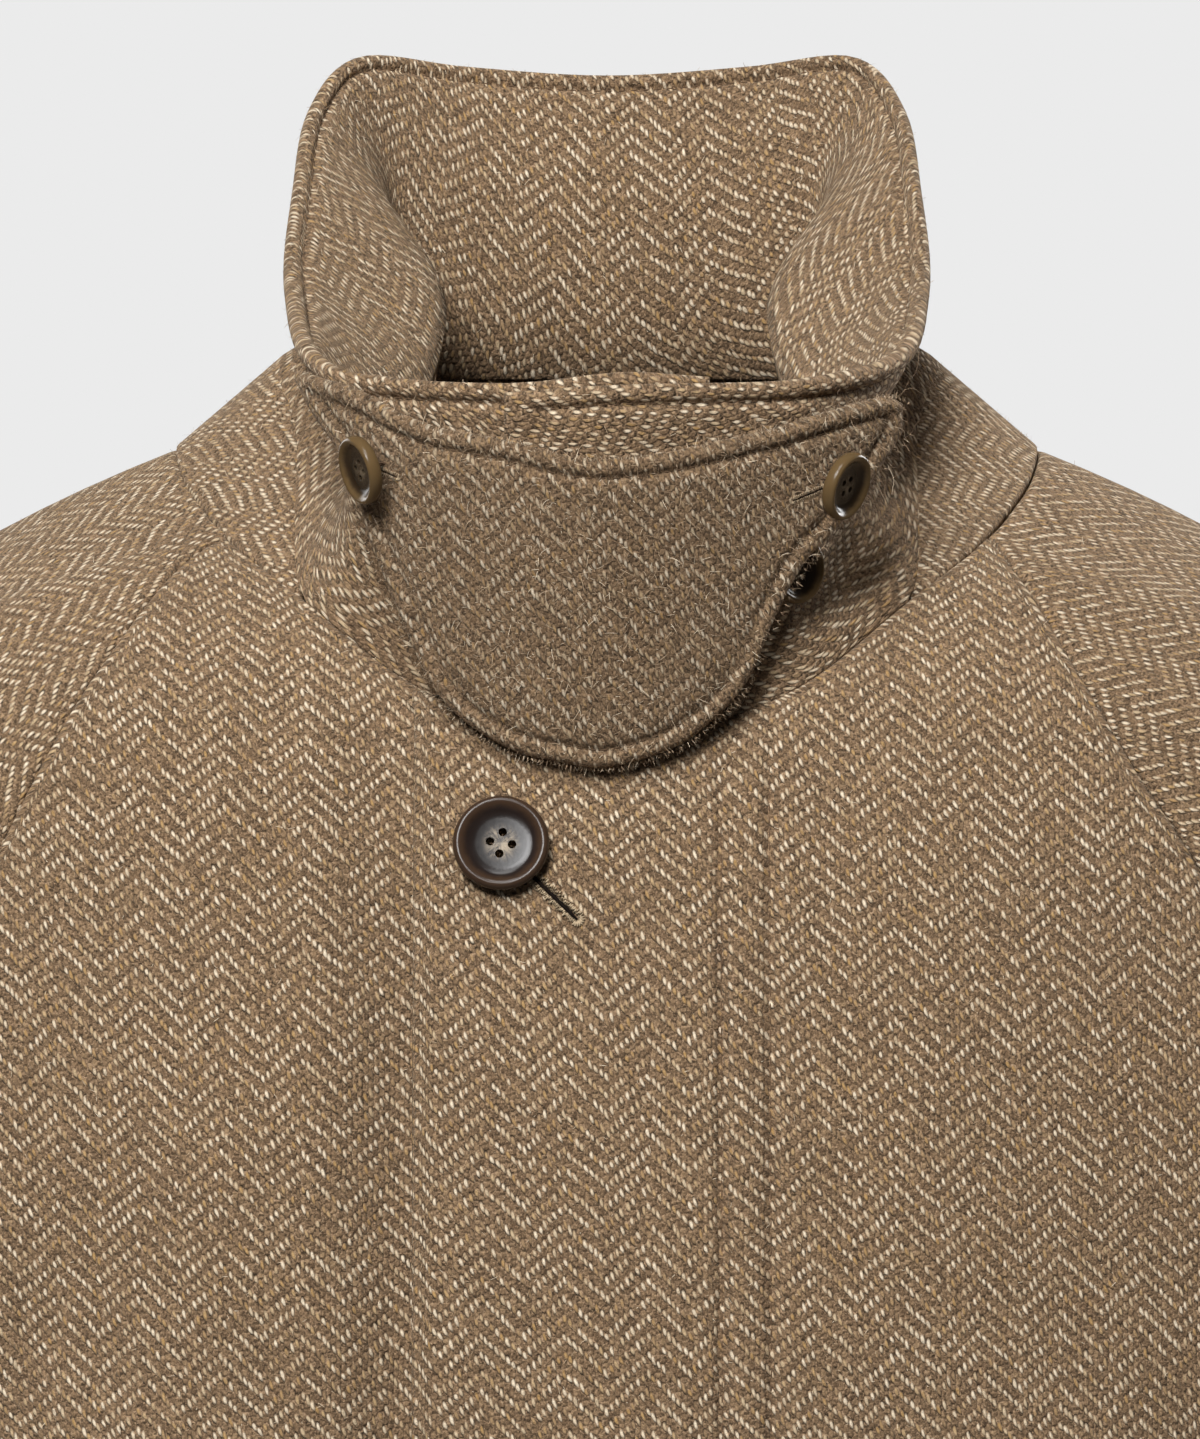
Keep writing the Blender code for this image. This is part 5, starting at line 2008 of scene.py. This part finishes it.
def make_light(row):
    data = bpy.data.lights.new(row.name, "AREA")
    data.shape = "RECTANGLE"
    data.size = row.size
    data.size_y = row.size
    data.energy = row.energy
    light = bpy.data.objects.new(row.name, data)
    light.location = row.place
    aim = Vector(LIGHT_AIM) - light.location
    light.rotation_euler = aim.to_track_quat("-Z", "Y").to_euler()
    bpy.context.scene.collection.objects.link(light)


def make_stage():
    """A pale floor, a pale surround and soft light from the upper left and from behind."""
    mesh = bpy.data.meshes.new("floor")
    corners = [(-1, -1), (1, -1), (1, 1), (-1, 1)]
    points = [(x * FLOOR_HALF, y * FLOOR_HALF, FLOOR_LEVEL * MM) for x, y in corners]
    mesh.from_pydata(points, [], [(0, 1, 2, 3)])
    make = Maker("pale_floor")
    spot = make.node("ShaderNodeTexCoord").outputs["Object"]
    shade = make.ramp(make.noise(spot, 3.0, 3.0), FLOOR_SHADES)
    make.put(shade, make.shader.inputs["Base Color"])
    shown = make.node("ShaderNodeLightPath").outputs["Is Camera Ray"]
    make.put(make.math("MULTIPLY", shown, FLOOR_SHOWN), make.shader.inputs["Emission Strength"])
    make.shader.inputs["Emission Color"].default_value = (1.0, 1.0, 1.0, 1.0)
    make.shader.inputs["Roughness"].default_value = 0.8
    mesh.materials.append(make.material)
    floor = bpy.data.objects.new("floor", mesh)
    bpy.context.scene.collection.objects.link(floor)
    make_surround()
    for row in LIGHTS:
        make_light(row)


def make_surround():
    """An even pale surround that lights the coat less than it shows."""
    world = bpy.data.worlds.new("surround")
    world.use_nodes = True
    nodes = world.node_tree.nodes
    background = nodes["Background"]
    background.inputs["Color"].default_value = (1.0, 1.0, 1.0, 1.0)
    path = nodes.new("ShaderNodeLightPath")
    strength = nodes.new("ShaderNodeMapRange")
    strength.inputs["To Min"].default_value = SURROUND_LIGHT
    strength.inputs["To Max"].default_value = SURROUND_SHOWN
    world.node_tree.links.new(path.outputs["Is Camera Ray"], strength.inputs["Value"])
    world.node_tree.links.new(strength.outputs["Result"], background.inputs["Strength"])
    bpy.context.scene.world = world


def main():
    bpy.context.scene.view_settings.view_transform = "Standard"
    make_camera()
    make_stage()
    tweed = tweed_material("tweed", 1.0, 0.15)
    # The tab's tweed is darker: partly its thicker nap, partly painted shade for a face that turns
    # down, away from the light
    napped_shaded_tab_tweed = tweed_material("tweed_napped_painted_shade", 0.80, 0.5)
    dark_horn = horn_material("dark_horn", (0.044, 0.025, 0.015), (0.018, 0.012, 0.010), 0.7)
    olive_horn = horn_material("olive_horn", (0.115, 0.072, 0.031), (0.040, 0.025, 0.013), 0.25)
    thread = thread_material("brown_thread", (0.16, 0.10, 0.06))
    silk = thread_material("buttonhole_thread", (0.56, 0.43, 0.28))
    # The slits' near-black look is painted shadow in the open buttonholes
    dark = thread_material("slit", (0.010, 0.006, 0.004))
    fibre = fibre_material("loose_fibre")

    left, right = make_fronts(tweed)
    back = make_back(tweed)
    sleeves = make_sleeves(tweed)
    fall = make_fall(tweed)
    stand = make_stand(tweed)
    tab = make_tab(napped_shaded_tab_tweed)
    for button in BUTTONS:
        make_button(button, dark_horn if button.cloth == "front" else olive_horn)

    stitches = Strands()
    stitch_fly(stitches)
    stitch_fall(stitches)
    stitch_tab(stitches)
    for button in BUTTONS:
        sew_button(button, stitches)
    stitches.piece("stitching", thread, "tweed")
    edging = Strands()
    slit_shadows = Strands()
    for hole in BUTTONHOLES:
        work_buttonhole(hole, edging, slit_shadows)
    edging.piece("buttonhole_edging", silk, "tweed")
    slit_shadows.piece("buttonhole_slit_shadows", dark, "tweed")

    bpy.context.view_layer.update()
    draw = np.random.default_rng(FIBRE_SEED)
    for row in FUZZ:
        fuzz(row, draw, fibre)
    tab_edge_fuzz(TAB_EDGE_FIBRES, draw, fibre)


main()
